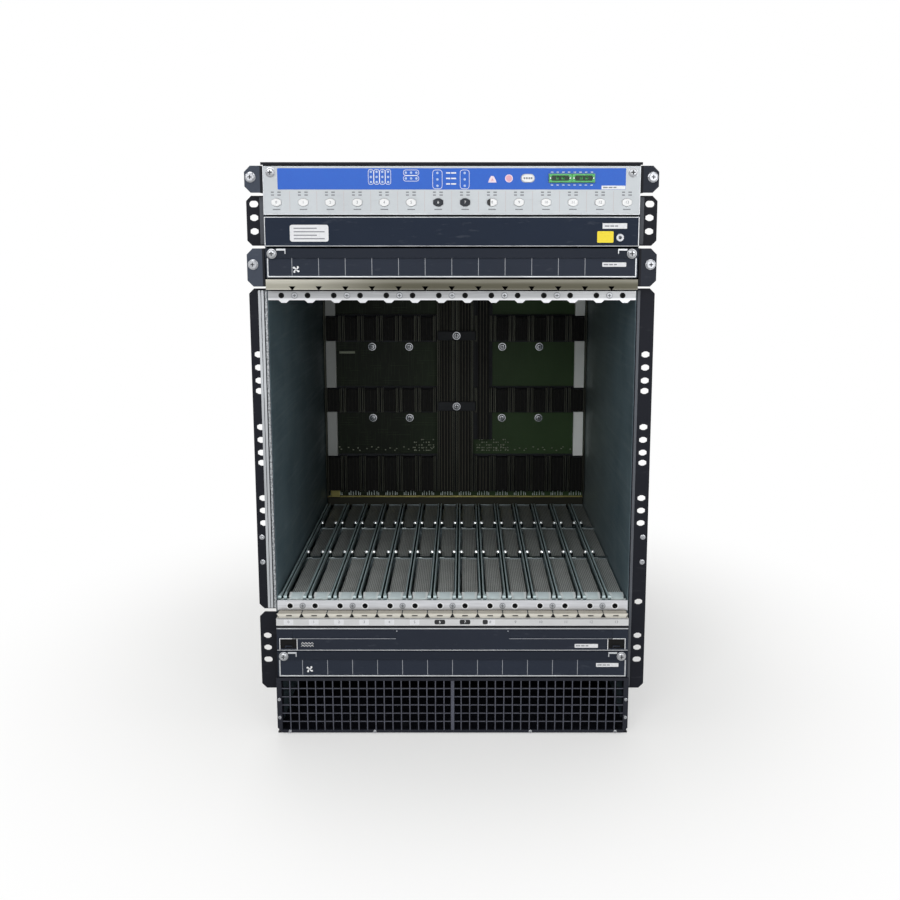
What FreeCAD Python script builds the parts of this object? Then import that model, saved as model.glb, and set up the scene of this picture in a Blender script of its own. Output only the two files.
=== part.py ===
# Modular router chassis: an empty vertical card cage between two fan trays, for a 19 inch rack.
# Millimetres. Z is up from the face that it rests on, X is across and the front looks along -Y.
import FreeCAD, Part
import Sketcher
import math
import os
from types import SimpleNamespace

# Driving dimensions, each one a named cell of the sheet.
SIZES = {
    "overall_height": 705.0,
    "overall_depth": 584.0,
    "body_width": 441.0,
    "sheet_metal": 1.5,
    "flange_span": 482.6,
    "flange_thickness": 2.0,
    "flange_setback": 14.0,
    "flange_chamfer": 6.0,
    "flange_notch": 2.9,
    "flange_foot": 55.0,
    "flange_split_rise": 156.0,
    "flange_split": 4.5,
    "rack_unit": 44.45,
    "rack_hole_step": 15.875,
    "rack_hole_centres": 465.1,
    "rack_slot_length": 10.6,
    "rack_slot_width": 7.4,
    "first_slot_drop": 47.0,
    "side_gap": 0.6,
    "seam": 1.4,
    "upper_seam": 2.2,
    "top_margin": 4.4,
    "panel_sheet": 2.0,
    "panel_return": 24.0,
    "running_gap": 0.3,
    "slot_pitch": 31.25,
    "slot_count": 14,
    "grille_height": 72.8,
    "grille_depth": 3.0,
    "grille_side_margin": 6.0,
    "grille_edge_margin": 3.4,
    "grille_corner": 6.5,
    "grille_columns": 40,
    "grille_rows": 6,
    "grille_wire": 1.7,
    "grille_centre_bar": 4.2,
    "tray_height": 33.9,
    "tray_body_height": 28.0,
    "tray_body_inset": 3.6,
    "tray_depth": 372.0,
    "tray_ledge_height": 11.0,
    "tray_ledge_step": 2.5,
    "tray_sheet": 1.2,
    "fan_pitch": 138.0,
    "fan_first_row": 112.0,
    "fan_columns": 3,
    "fan_rows": 2,
    "fan_frame_side": 124.0,
    "fan_frame_height": 25.4,
    "fan_bore_radius": 59.0,
    "fan_hub_radius": 24.0,
    "fan_hub_height": 17.0,
    "fan_hub_gap": 0.6,
    "fan_shaft_radius": 3.0,
    "fan_strut_width": 7.0,
    "fan_strut_height": 3.2,
    "fan_blade_tip": 53.0,
    "fan_blade_chord": 26.0,
    "fan_blade_thickness": 2.6,
    "fan_blade_count": 5,
    "runner_ledge": 16.0,
    "runner_leg": 12.0,
    "filter_height": 31.0,
    "filter_body_height": 20.0,
    "filter_depth": 430.0,
    "filter_media_gap": 0.5,
    "filter_lip": 6.0,
    "grip_length": 129.0,
    "grip_height": 11.0,
    "grip_depth": 0.9,
    "grip_inset": 19.0,
    "grip_drop": 4.2,
    "latch_width": 20.5,
    "latch_height": 12.4,
    "latch_depth": 1.4,
    "latch_inset": 4.2,
    "latch_rise": 2.2,
    "number_height": 9.4,
    "number_return": 32.0,
    "tab_height": 6.8,
    "tab_drop": 7.4,
    "tab_reach": 10.0,
    "tab_top_width": 30.0,
    "tab_foot_width": 24.4,
    "tab_foot_height": 1.6,
    "tab_slot_length": 7.0,
    "tab_slot_width": 1.8,
    "rail_gap": 5.0,
    "lower_rail_height": 13.1,
    "upper_rail_height": 10.9,
    "rail_thickness": 3.0,
    "rail_hole_radius": 2.8,
    "upper_hole_rise": 5.6,
    "lower_hole_rise": 6.0,
    "tooth_width": 13.0,
    "tooth_tip": 6.0,
    "tooth_height": 3.2,
    "tooth_offset": 3.0,
    "trim_height": 12.0,
    "trim_notch_width": 7.6,
    "trim_notch_mouth": 1.6,
    "trim_notch_height": 4.0,
    "cage_depth": 450.0,
    "cross_bar_height": 9.0,
    "upper_bar_height": 6.0,
    "cross_bar_width": 9.0,
    "cross_bar_first": 20.0,
    "cross_bar_second": 170.0,
    "cross_bar_third": 312.0,
    "guide_width": 7.0,
    "guide_groove": 3.0,
    "guide_height": 7.4,
    "upper_guide_height": 3.4,
    "guide_floor": 1.2,
    "guide_rear_gap": 22.0,
    "guide_offset": 10.0,
    "guide_flare": 2.2,
    "guide_flare_length": 14.0,
    "midplane_thickness": 4.2,
    "midplane_margin": 10.0,
    "connector_width": 19.0,
    "connector_depth": 13.0,
    "connector_low": 15.1,
    "connector_low_height": 57.0,
    "connector_middle": 151.1,
    "connector_middle_height": 37.0,
    "connector_high": 270.1,
    "connector_high_height": 38.0,
    "last_tall_rise": 103.5,
    "bracket_width": 16.0,
    "bracket_depth": 7.0,
    "bracket_inset": 4.0,
    "bracket_gap": 2.0,
    "display_height": 55.4,
    "display_board_gap": 6.0,
    "board_thickness": 1.6,
    "board_margin": 14.0,
    "board_post_radius": 2.6,
    "button_rise": 14.2,
    "button_length": 12.2,
    "button_width": 8.6,
    "button_proud": 1.4,
    "button_gap": 0.35,
    "button_collar": 2.4,
    "button_collar_thickness": 1.2,
    "button_tail_gap": 0.9,
    "cutoff_x": 88.0,
    "cutoff_rise": 41.6,
    "cutoff_length": 15.2,
    "terminal_x": 125.5,
    "terminal_pitch": 26.6,
    "terminal_count": 2,
    "terminal_width": 26.0,
    "terminal_height": 9.4,
    "terminal_rise": 36.9,
    "terminal_proud": 3.0,
    "terminal_poles": 4,
    "terminal_hole": 3.2,
    "plenum_height": 34.2,
    "jack_x": 196.0,
    "jack_rise": 10.2,
    "jack_flange_radius": 4.4,
    "jack_flange_proud": 1.8,
    "jack_barrel_radius": 3.2,
    "jack_barrel_length": 14.0,
    "jack_bore_radius": 2.0,
    "ear_width": 20.6,
    "ear_thickness": 2.0,
    "ear_leg": 40.0,
    "ear_chamfer": 7.0,
    "top_ear_drop": 4.0,
    "top_ear_height": 30.6,
    "shoulder_ear_height": 44.4,
    "ear_bolt_x": 232.5,
    "ear_bolt_flats": 10.0,
    "ear_bolt_head": 4.0,
    "ear_bolt_radius": 3.0,
    "ear_bolt_length": 12.0,
    "top_bolt_drop": 13.0,
    "shoulder_bolt_drop": 18.8,
    "bay_count": 4,
    "bay_pitch": 105.0,
    "bay_cover_width": 102.0,
    "bay_cover_height": 220.0,
    "bay_cover_rise": 39.0,
    "exhaust_columns": 16,
    "exhaust_rows": 2,
    "exhaust_width": 12.0,
    "exhaust_height": 44.0,
    "exhaust_pitch": 25.0,
    "exhaust_row_pitch": 54.0,
    "exhaust_drop": 132.0,
}

# Rack slots by number from the top, cut only where the flange is clear.
SLOTS_PER_UNIT = 3
TOP_SLOTS = (0, 1, 2)
MIDDLE_SLOTS = (12, 13, 14, 15, 18, 19, 20, 21, 24, 25, 26)
RIGHT_SLOT = 33
BOTTOM_SLOTS = (36, 37, 38)

# The slots that locate the chassis have true round ends.
LOCATING_SLOTS = (0, 38)

# Slots whose connectors run up to the midplane's top. The last of them starts above its low connector.
TALL_SLOTS = (6, 7, 8)

# Chords in a rack slot's end and in a button's end, and sides of a small round, a fan's hub and its bore.
SLOT_CHORDS = 3
BUTTON_CHORDS = 3
ROUND_SIDES = 8
HUB_SIDES = 12
BORE_SIDES = 16

doc = FreeCAD.newDocument("router_chassis")
sheet = doc.addObject("Spreadsheet::Sheet", "Sizes")
for line, (alias, number) in enumerate(SIZES.items(), 1):
    sheet.set(f"A{line}", alias)
    sheet.set(f"B{line}", str(number))
    sheet.setAlias(f"B{line}", alias)
doc.recompute()


class Size:
    """A length: its value now, and the sheet formula that drives it."""

    def __init__(self, formula, value):
        self.formula = formula
        self.value = value

    def __add__(self, other):
        other = as_size(other)
        return Size(f"({self.formula} + {other.formula})", self.value + other.value)

    def __sub__(self, other):
        other = as_size(other)
        return Size(f"({self.formula} - {other.formula})", self.value - other.value)

    def __rsub__(self, other):
        return as_size(other) - self

    def __mul__(self, other):
        other = as_size(other)
        return Size(f"({self.formula} * {other.formula})", self.value * other.value)

    def __truediv__(self, other):
        other = as_size(other)
        return Size(f"({self.formula} / {other.formula})", self.value / other.value)

    def __neg__(self):
        return 0 - self

    __radd__ = __add__
    __rmul__ = __mul__


def as_size(number):
    return number if isinstance(number, Size) else Size(str(float(number)), float(number))


d = SimpleNamespace(**{alias: Size(f"Sizes.{alias}", float(sheet.get(alias))) for alias in SIZES})


def whole(size):
    """A count from the sheet."""
    return int(round(size.value))


# Sketch outlines. Each point is tied to the sheet by its two coordinates.
def polygon(*points):
    return ("polygon", [(as_size(u), as_size(v)) for u, v in points])


def rect(u, v):
    return polygon((u[0], v[0]), (u[1], v[0]), (u[1], v[1]), (u[0], v[1]))


def circle(u, v, radius):
    return ("circle", (as_size(u), as_size(v)), as_size(radius))


def obround(u, v, length, width):
    """A slot with round ends, lying along the sketch's first axis."""
    return ("obround", (as_size(u), as_size(v)), as_size(length), as_size(width))


def ring(u, v, radius, sides):
    """A round outline drawn with chords, which keeps what repeats light."""
    turns = [2 * math.pi * (n + 0.5) / sides for n in range(sides)]
    return polygon(*[(u + radius * math.cos(turn), v + radius * math.sin(turn)) for turn in turns])


def oval(u, v, length, width, chords):
    """A slot along the first axis, with each end drawn with chords."""
    radius = width / 2
    reach = length / 2 - radius
    points = []
    for side in (1, -1):
        for n in range(chords + 1):
            turn = math.pi * (n / chords - 0.5)
            points.append((u + side * (reach + radius * math.cos(turn)), v + side * radius * math.sin(turn)))
    return polygon(*points)


UP = FreeCAD.Vector(0, 0, 1)


def vector(point):
    return FreeCAD.Vector(point[0].value, point[1].value, 0)


def tie(ties, geometry, position, axis, size):
    """Fix one coordinate of a point from the sketch's origin."""
    constraint = Sketcher.Constraint(f"Distance{axis}", -1, 1, geometry, position, size.value)
    ties.append((constraint, size.formula))


def tie_point(ties, geometry, position, point):
    tie(ties, geometry, position, "X", point[0])
    tie(ties, geometry, position, "Y", point[1])


def join(ties, one, other):
    """The end of one stretch meets the start of the other."""
    ties.append((Sketcher.Constraint("Coincident", one, 2, other, 1), None))


def draw_polygon(sketch, ties, points):
    ends = points[1:] + points[:1]
    lines = [Part.LineSegment(vector(a), vector(b)) for a, b in zip(points, ends)]
    indices = sketch.addGeometry(lines, False)
    for i, point in enumerate(points):
        join(ties, indices[i - 1], indices[i])
        tie_point(ties, indices[i], 1, point)


def draw_circle(sketch, ties, centre, radius):
    index = sketch.addGeometry(Part.Circle(vector(centre), UP, radius.value), False)
    tie_point(ties, index, 3, centre)
    ties.append((Sketcher.Constraint("Radius", index, radius.value), radius.formula))


def draw_obround(sketch, ties, centre, length, width):
    u, v = centre
    radius = width / 2
    left_u = u - length / 2 + radius
    right_u = u + length / 2 - radius
    left_end = Part.Circle(vector((left_u, v)), UP, radius.value)
    right_end = Part.Circle(vector((right_u, v)), UP, radius.value)
    left_top, left_foot = (left_u, v + radius), (left_u, v - radius)
    right_top, right_foot = (right_u, v + radius), (right_u, v - radius)
    top, left, foot, right = sketch.addGeometry(
        [
            Part.LineSegment(vector(right_top), vector(left_top)),
            Part.ArcOfCircle(left_end, math.pi / 2, 3 * math.pi / 2),
            Part.LineSegment(vector(left_foot), vector(right_foot)),
            Part.ArcOfCircle(right_end, -math.pi / 2, math.pi / 2),
        ],
        False,
    )
    for one, other in ((top, left), (left, foot), (foot, right), (right, top)):
        join(ties, one, other)
    tie_point(ties, top, 1, right_top)
    tie_point(ties, top, 2, left_top)
    tie_point(ties, foot, 1, left_foot)
    tie_point(ties, foot, 2, right_foot)
    tie(ties, left, 3, "X", left_u)
    tie(ties, right, 3, "X", right_u)


DRAW = {"polygon": draw_polygon, "circle": draw_circle, "obround": draw_obround}

# Each plane with its sketch's own direction: a front sketch looks along -Y, so its offset changes sign.
PLANES = {"front": ("XZ_Plane", -1), "flat": ("XY_Plane", 1), "side": ("YZ_Plane", 1)}


def origin_feature(body, role):
    return next(feature for feature in body.Origin.OriginFeatures if feature.Role == role)


def sketch_on(body, plane, offset, loops):
    role, sign = PLANES[plane]
    sketch = body.newObject("Sketcher::SketchObject", f"{body.Label}_outline")
    sketch.AttachmentSupport = (origin_feature(body, role), "")
    sketch.MapMode = "FlatFace"
    sketch.setExpression("AttachmentOffset.Base.z", (sign * as_size(offset)).formula)
    ties = []
    for kind, *shape in loops:
        DRAW[kind](sketch, ties, *shape)
    indices = sketch.addConstraint([constraint for constraint, formula in ties])
    for index, (constraint, formula) in zip(indices, ties):
        if formula:
            sketch.setExpression(f"Constraints[{index}]", formula)
    return sketch


def pad(body, plane, offset, depth, *loops):
    """Material from the offset, towards the plane's positive axis."""
    feature = body.newObject("PartDesign::Pad", f"{body.Label}_pad")
    feature.Profile = sketch_on(body, plane, offset, loops)
    feature.Reversed = plane == "front"
    feature.setExpression("Length", as_size(depth).formula)
    return feature


def pocket(body, plane, offset, depth, *loops):
    """A cut from the offset, towards the plane's positive axis."""
    feature = body.newObject("PartDesign::Pocket", f"{body.Label}_cut")
    feature.Profile = sketch_on(body, plane, offset, loops)
    feature.Reversed = plane != "front"
    feature.setExpression("Length", as_size(depth).formula)
    cuts.append((body, feature))
    return feature


def row(body, feature, axis, span, count):
    """Evenly spaced copies of a feature along an axis; span is from the first to the last."""
    pattern = body.newObject("PartDesign::LinearPattern", f"{body.Label}_row")
    pattern.Originals = [feature]
    pattern.Direction = (origin_feature(body, f"{axis}_Axis"), [""])
    pattern.setExpression("Length", span.formula)
    pattern.setExpression("Occurrences", count.formula)
    body.Tip = pattern
    return pattern


def second_row(pattern, axis, span, count):
    """The same copies again along a second axis."""
    pattern.Direction2 = (origin_feature(pattern.getParentGeoFeatureGroup(), f"{axis}_Axis"), [""])
    pattern.setExpression("Length2", span.formula)
    pattern.setExpression("Occurrences2", count.formula)


def new_body(label):
    body = doc.addObject("PartDesign::Body", label)
    body.Label = label
    body.AllowCompound = True
    return body


def node(body):
    nodes.append(body)
    return body


def place(body, x, y, z):
    for axis, size in (("x", x), ("y", y), ("z", z)):
        body.setExpression(f"Placement.Base.{axis}", as_size(size).formula)


def group(label, members):
    """Like pieces kept as separate solids in one node."""
    compound = doc.addObject("Part::Compound", label)
    compound.Label = label
    compound.Links = members
    return node(compound)


nodes = []
cuts = []

# Planes that the pieces share.
outer_x = d.body_width / 2
inner_x = outer_x - d.sheet_metal
panel_x = inner_x - d.side_gap
front_y = -d.overall_depth / 2
rear_y = d.overall_depth / 2
wall_rear_y = rear_y - d.sheet_metal
flange_y = front_y + d.flange_setback
rail_back_y = flange_y + d.rail_thickness
midplane_y = flange_y + d.cage_depth

# Heights of the front modules: the lower ones from the base up, the upper ones from the top down.
grille_z = d.sheet_metal
grille_top = grille_z + d.grille_height
lower_tray_z = grille_top + d.seam
filter_z = lower_tray_z + d.tray_height + d.seam
filter_top = filter_z + d.filter_height
number_z = filter_top + d.seam
lower_rail_z = number_z + d.number_height + d.rail_gap
lower_rail_top = lower_rail_z + d.lower_rail_height
display_top = d.overall_height - d.top_margin
display_z = display_top - d.display_height
plenum_top = display_z - d.upper_seam
plenum_z = plenum_top - d.plenum_height
upper_tray_top = plenum_z - d.upper_seam
upper_tray_z = upper_tray_top - d.tray_height
trim_top = upper_tray_z - d.upper_seam
trim_z = trim_top - d.trim_height
upper_rail_top = trim_z - d.upper_seam
upper_rail_z = upper_rail_top - d.upper_rail_height


def slot_x(number):
    """Centre line of a card slot, counted from the left."""
    return d.slot_pitch * number - d.slot_pitch * (d.slot_count - 1) / 2


slot_span = d.slot_pitch * (d.slot_count - 1)
slot_numbers = range(whole(d.slot_count))


# Side walls: one sheet each, with the rack flange folded out of its front edge round the ears.
first_slot_z = d.overall_height - d.first_slot_drop
top_ear_top = d.overall_height - d.top_ear_drop
top_ear_z = top_ear_top - d.top_ear_height
shoulder_ear_top = upper_tray_top
shoulder_ear_z = shoulder_ear_top - d.shoulder_ear_height


def rack_slot_z(number):
    unit, step = divmod(number, SLOTS_PER_UNIT)
    return first_slot_z - d.rack_unit * unit - d.rack_hole_step * step


def flange(body, side, low, high, slots):
    reach = d.flange_span / 2
    outline = polygon(
        (side * inner_x, low),
        (side * (reach - d.flange_chamfer), low),
        (side * reach, low + d.flange_chamfer),
        (side * reach, high - d.flange_chamfer),
        (side * (reach - d.flange_chamfer), high),
        (side * inner_x, high),
    )
    pad(body, "front", flange_y, d.flange_thickness, outline)
    for number in slots:
        shape = (side * d.rack_hole_centres / 2, rack_slot_z(number), d.rack_slot_length, d.rack_slot_width)
        slot = obround(*shape) if number in LOCATING_SLOTS else oval(*shape, SLOT_CHORDS)
        pocket(body, "front", flange_y, d.flange_thickness, slot)


def side_wall(label, side, low_x):
    body = node(new_body(label))
    wall = rect((flange_y, wall_rear_y), (d.sheet_metal, d.overall_height - d.sheet_metal))
    pad(body, "side", low_x, d.sheet_metal, wall)
    flange(body, side, shoulder_ear_top + d.flange_notch, top_ear_z - d.flange_notch, TOP_SLOTS)
    return body


flange_top = shoulder_ear_z - d.flange_notch
left_wall = side_wall("left_side_wall", -1, -outer_x)
flange(left_wall, -1, d.flange_foot, d.flange_split_rise, BOTTOM_SLOTS)
flange(left_wall, -1, d.flange_split_rise + d.flange_split, flange_top, MIDDLE_SLOTS)
right_wall = side_wall("right_side_wall", 1, inner_x)
flange(right_wall, 1, d.flange_foot, flange_top, MIDDLE_SLOTS + (RIGHT_SLOT,) + BOTTOM_SLOTS)


# Top cover with a lip over the front, and the base that the chassis rests on.
cover = node(new_body("top_cover"))
lip_z = display_top + d.seam
under_cover = d.overall_height - d.sheet_metal
pad(
    cover,
    "side",
    -outer_x,
    d.body_width,
    polygon(
        (front_y, lip_z),
        (front_y + d.sheet_metal, lip_z),
        (front_y + d.sheet_metal, under_cover),
        (wall_rear_y, under_cover),
        (wall_rear_y, d.overall_height),
        (front_y, d.overall_height),
    ),
)
base = node(new_body("base_pan"))
pad(base, "flat", 0, d.sheet_metal, rect((-outer_x, outer_x), (front_y + d.grille_depth, wall_rear_y)))


# Rear panel: exhaust slots at the top, and blank covers over the power bays below.
rear = node(new_body("rear_panel"))
first_bay_x = -d.bay_pitch * (d.bay_count - 1) / 2
rear_panel_y = wall_rear_y - d.sheet_metal
pad(rear, "front", rear_panel_y, d.sheet_metal, rect((-inner_x, inner_x), (d.sheet_metal, under_cover)))
exhaust_span = d.exhaust_pitch * (d.exhaust_columns - 1)
exhaust_z = d.overall_height - d.exhaust_drop
exhaust = pocket(
    rear,
    "front",
    rear_panel_y,
    d.sheet_metal,
    rect(
        (-exhaust_span / 2 - d.exhaust_width / 2, -exhaust_span / 2 + d.exhaust_width / 2),
        (exhaust_z, exhaust_z + d.exhaust_height),
    ),
)
exhaust_rows = row(rear, exhaust, "X", exhaust_span, d.exhaust_columns)
second_row(exhaust_rows, "Z", d.exhaust_row_pitch * (d.exhaust_rows - 1), d.exhaust_rows)

covers = node(new_body("power_bay_covers"))
cover_pad = pad(
    covers,
    "front",
    wall_rear_y,
    d.sheet_metal,
    rect(
        (first_bay_x - d.bay_cover_width / 2, first_bay_x + d.bay_cover_width / 2),
        (d.bay_cover_rise, d.bay_cover_rise + d.bay_cover_height),
    ),
)
row(covers, cover_pad, "X", d.bay_pitch * (d.bay_count - 1), d.bay_count)


# Ears: four angle brackets on the walls, each with a hex bolt through its face.
bolt_hole = d.ear_bolt_radius + d.running_gap


def ear(label, side, low, high, bolt_z):
    body = new_body(label)
    reach = inner_x + d.ear_width
    face = polygon(
        (side * inner_x, low),
        (side * (reach - d.ear_chamfer), low),
        (side * reach, low + d.ear_chamfer),
        (side * reach, high - d.ear_chamfer),
        (side * (reach - d.ear_chamfer), high),
        (side * inner_x, high),
    )
    hole = ring(side * d.ear_bolt_x, bolt_z, bolt_hole, ROUND_SIDES)
    pad(body, "front", front_y, d.ear_thickness, face, hole)
    leg = rect((side * outer_x, side * (outer_x + d.ear_thickness)), (low, high))
    pad(body, "front", front_y + d.ear_thickness, d.ear_leg, leg)
    return body


def hex_bolt(label, x, z):
    body = new_body(label)
    corner = d.ear_bolt_flats * (3 ** -0.5)
    half = corner / 2
    flat = d.ear_bolt_flats / 2
    head = polygon(
        (x + corner, z), (x + half, z + flat), (x - half, z + flat),
        (x - corner, z), (x - half, z - flat), (x + half, z - flat),
    )
    pad(body, "front", front_y - d.ear_bolt_head, d.ear_bolt_head, head)
    pad(body, "front", front_y, d.ear_bolt_length, ring(x, z, d.ear_bolt_radius, ROUND_SIDES))
    return body


ears = []
bolts = []
for side, word in ((-1, "left"), (1, "right")):
    top_bolt_z = top_ear_top - d.top_bolt_drop
    shoulder_bolt_z = shoulder_ear_top - d.shoulder_bolt_drop
    ears.append(ear(f"{word}_top_ear", side, top_ear_z, top_ear_top, top_bolt_z))
    ears.append(ear(f"{word}_shoulder_ear", side, shoulder_ear_z, shoulder_ear_top, shoulder_bolt_z))
    bolts.append(hex_bolt(f"{word}_top_bolt", side * d.ear_bolt_x, top_bolt_z))
    bolts.append(hex_bolt(f"{word}_shoulder_bolt", side * d.ear_bolt_x, shoulder_bolt_z))
group("rack_ears", ears)
group("ear_bolts", bolts)


# Runners: angles on the inside of the walls that carry the two fan trays and the filter.
runners = node(new_body("tray_runners"))
runner_y = front_y + d.panel_return + d.seam
for tray_z in (lower_tray_z, filter_z, upper_tray_z):
    ledge_z = tray_z - d.running_gap
    for side in (-1, 1):
        angle = polygon(
            (side * inner_x, ledge_z),
            (side * (inner_x - d.runner_ledge), ledge_z),
            (side * (inner_x - d.runner_ledge), ledge_z - d.sheet_metal),
            (side * (inner_x - d.sheet_metal), ledge_z - d.sheet_metal),
            (side * (inner_x - d.sheet_metal), ledge_z - d.runner_leg),
            (side * inner_x, ledge_z - d.runner_leg),
        )
        pad(runners, "front", runner_y, d.tray_depth, angle)


# Front panels folded from sheet: a flat face with a return along each wall.
def folded_panel(label, low, height):
    body = node(new_body(label))
    back_y = front_y + d.panel_sheet
    end_y = front_y + d.panel_return
    web_x = panel_x - d.panel_sheet
    section = polygon(
        (-panel_x, front_y), (panel_x, front_y), (panel_x, end_y), (web_x, end_y),
        (web_x, back_y), (-web_x, back_y), (-web_x, end_y), (-panel_x, end_y),
    )
    pad(body, "flat", low, height, section)
    return body


# Display panel: a row of buttons, one over each slot, an alarm cut-off and two terminal blocks.
display = folded_panel("display_panel", display_z, d.display_height)
button_z = display_z + d.button_rise
cutoff_z = display_z + d.cutoff_rise
terminal_z = display_z + d.terminal_rise
hole_gap = 2 * d.button_gap
button_hole = pocket(
    display,
    "front",
    front_y,
    d.panel_sheet,
    oval(slot_x(0), button_z, d.button_length + hole_gap, d.button_width + hole_gap, BUTTON_CHORDS),
)
row(display, button_hole, "X", slot_span, d.slot_count)
terminal_places = [d.terminal_x + d.terminal_pitch * n for n in range(whole(d.terminal_count))]
terminals_x = (
    terminal_places[0] - d.terminal_width / 2 - d.button_gap,
    terminal_places[-1] + d.terminal_width / 2 + d.button_gap,
)
terminals_z = (terminal_z - d.button_gap, terminal_z + d.terminal_height + d.button_gap)
pocket(
    display,
    "front",
    front_y,
    d.panel_sheet,
    oval(d.cutoff_x, cutoff_z, d.cutoff_length + hole_gap, d.button_width + hole_gap, BUTTON_CHORDS),
    rect(terminals_x, terminals_z),
)

panel_back_y = front_y + d.panel_sheet
board_y = panel_back_y + d.display_board_gap
board = node(new_body("display_board"))
board_x = panel_x - d.panel_sheet - d.board_margin
board_z = (display_z + d.board_post_radius, display_top - d.board_post_radius)
pad(board, "front", board_y, d.board_thickness, rect((-board_x, board_x), board_z))
post_x = slot_span / 2 - d.slot_pitch / 2
post_inset = 2 * d.board_post_radius
posts = [
    ring(side * post_x, level, d.board_post_radius, ROUND_SIDES)
    for side in (-1, 1)
    for level in (board_z[0] + post_inset, board_z[1] - post_inset)
]
pad(board, "front", panel_back_y, d.display_board_gap, *posts)


def push_button(label, x, z, length):
    """A cap through the panel, with a collar behind that keeps it in."""
    body = node(new_body(label))
    reach = d.button_proud + d.panel_sheet + d.display_board_gap - d.button_tail_gap
    cap = oval(x, z, length, d.button_width, BUTTON_CHORDS)
    pad(body, "front", front_y - d.button_proud, reach, cap)
    collar_x = length / 2 + d.button_collar
    collar_z = d.button_width / 2 + d.button_collar
    collar = rect((x - collar_x, x + collar_x), (z - collar_z, z + collar_z))
    pad(body, "front", panel_back_y + d.running_gap, d.button_collar_thickness, collar)


for number in slot_numbers:
    push_button(f"slot_button_{number}", slot_x(number), button_z, d.button_length)
push_button("cutoff_button", d.cutoff_x, cutoff_z, d.cutoff_length)


def terminal_block(label, x):
    body = new_body(label)
    reach = d.terminal_proud + d.panel_sheet + d.display_board_gap
    block_y = front_y - d.terminal_proud
    block_z = (terminal_z, terminal_z + d.terminal_height)
    pad(body, "front", block_y, reach, rect((x - d.terminal_width / 2, x + d.terminal_width / 2), block_z))
    pole_pitch = d.terminal_width / d.terminal_poles
    first_x = x - d.terminal_width / 2 + pole_pitch / 2
    middle_z = terminal_z + d.terminal_height / 2
    half = d.terminal_hole / 2
    wire_hole = rect((first_x - half, first_x + half), (middle_z - half, middle_z + half))
    entry = pocket(body, "front", block_y, d.terminal_proud, wire_hole)
    row(body, entry, "X", pole_pitch * (d.terminal_poles - 1), d.terminal_poles)
    return body


group("alarm_terminals", [terminal_block(f"terminal_block_{n}", x) for n, x in enumerate(terminal_places)])


# Plenum panel, blank but for the wrist strap jack.
plenum = folded_panel("plenum_panel", plenum_z, d.plenum_height)
jack_z = plenum_z + d.jack_rise
jack_hole = ring(d.jack_x, jack_z, d.jack_barrel_radius + d.running_gap, ROUND_SIDES)
pocket(plenum, "front", front_y, d.panel_sheet, jack_hole)
jack = node(new_body("wrist_strap_jack"))
jack_y = front_y - d.jack_flange_proud
flange_round = ring(d.jack_x, jack_z, d.jack_flange_radius, HUB_SIDES)
barrel_round = ring(d.jack_x, jack_z, d.jack_barrel_radius, ROUND_SIDES)
pad(jack, "front", jack_y, d.jack_flange_proud, flange_round)
pad(jack, "front", front_y, d.jack_barrel_length, barrel_round)
pocket(jack, "front", jack_y, d.jack_barrel_length, circle(d.jack_x, jack_z, d.jack_bore_radius))


# Trim strip under the upper fan tray, notched between the slots and folded back along its top.
trim = node(new_body("upper_trim_strip"))
pad(trim, "front", front_y, d.panel_sheet, rect((-panel_x, panel_x), (trim_z, trim_top)))
notch_x = slot_x(0) + d.slot_pitch / 2
notch = pocket(
    trim,
    "front",
    front_y,
    d.panel_sheet,
    polygon(
        (notch_x - d.trim_notch_mouth / 2, trim_z),
        (notch_x + d.trim_notch_mouth / 2, trim_z),
        (notch_x + d.trim_notch_width / 2, trim_z + d.trim_notch_height),
        (notch_x - d.trim_notch_width / 2, trim_z + d.trim_notch_height),
    ),
)
row(trim, notch, "X", slot_span - d.slot_pitch, d.slot_count - 1)
pad(
    trim,
    "flat",
    trim_top - d.panel_sheet,
    d.panel_sheet,
    rect((-panel_x, panel_x), (panel_back_y, front_y + d.panel_return)),
)


# Card rails across the mouth of the cage, with a screw hole at every slot, truly round at the two ends.
def card_rail(label, low, height, hole_rise):
    body = node(new_body(label))
    pad(body, "front", flange_y, d.rail_thickness, rect((-inner_x, inner_x), (low, low + height)))
    hole_z = low + hole_rise
    ends = [circle(side * slot_span / 2, hole_z, d.rail_hole_radius) for side in (-1, 1)]
    pocket(body, "front", flange_y, d.rail_thickness, *ends)
    second = ring(slot_x(1), hole_z, d.rail_hole_radius, ROUND_SIDES)
    hole = pocket(body, "front", flange_y, d.rail_thickness, second)
    row(body, hole, "X", slot_span - 2 * d.slot_pitch, d.slot_count - 2)
    return body


card_rail("lower_rail", lower_rail_z, d.lower_rail_height, d.lower_hole_rise)
upper_rail = card_rail("upper_rail", upper_rail_z, d.upper_rail_height, d.upper_hole_rise)
tooth_x = slot_x(0) + d.tooth_offset
tooth = pad(
    upper_rail,
    "front",
    flange_y,
    d.rail_thickness,
    polygon(
        (tooth_x - d.tooth_width / 2, upper_rail_z),
        (tooth_x - d.tooth_tip / 2, upper_rail_z - d.tooth_height),
        (tooth_x + d.tooth_tip / 2, upper_rail_z - d.tooth_height),
        (tooth_x + d.tooth_width / 2, upper_rail_z),
    ),
)
row(upper_rail, tooth, "X", slot_span, d.slot_count)


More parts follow.
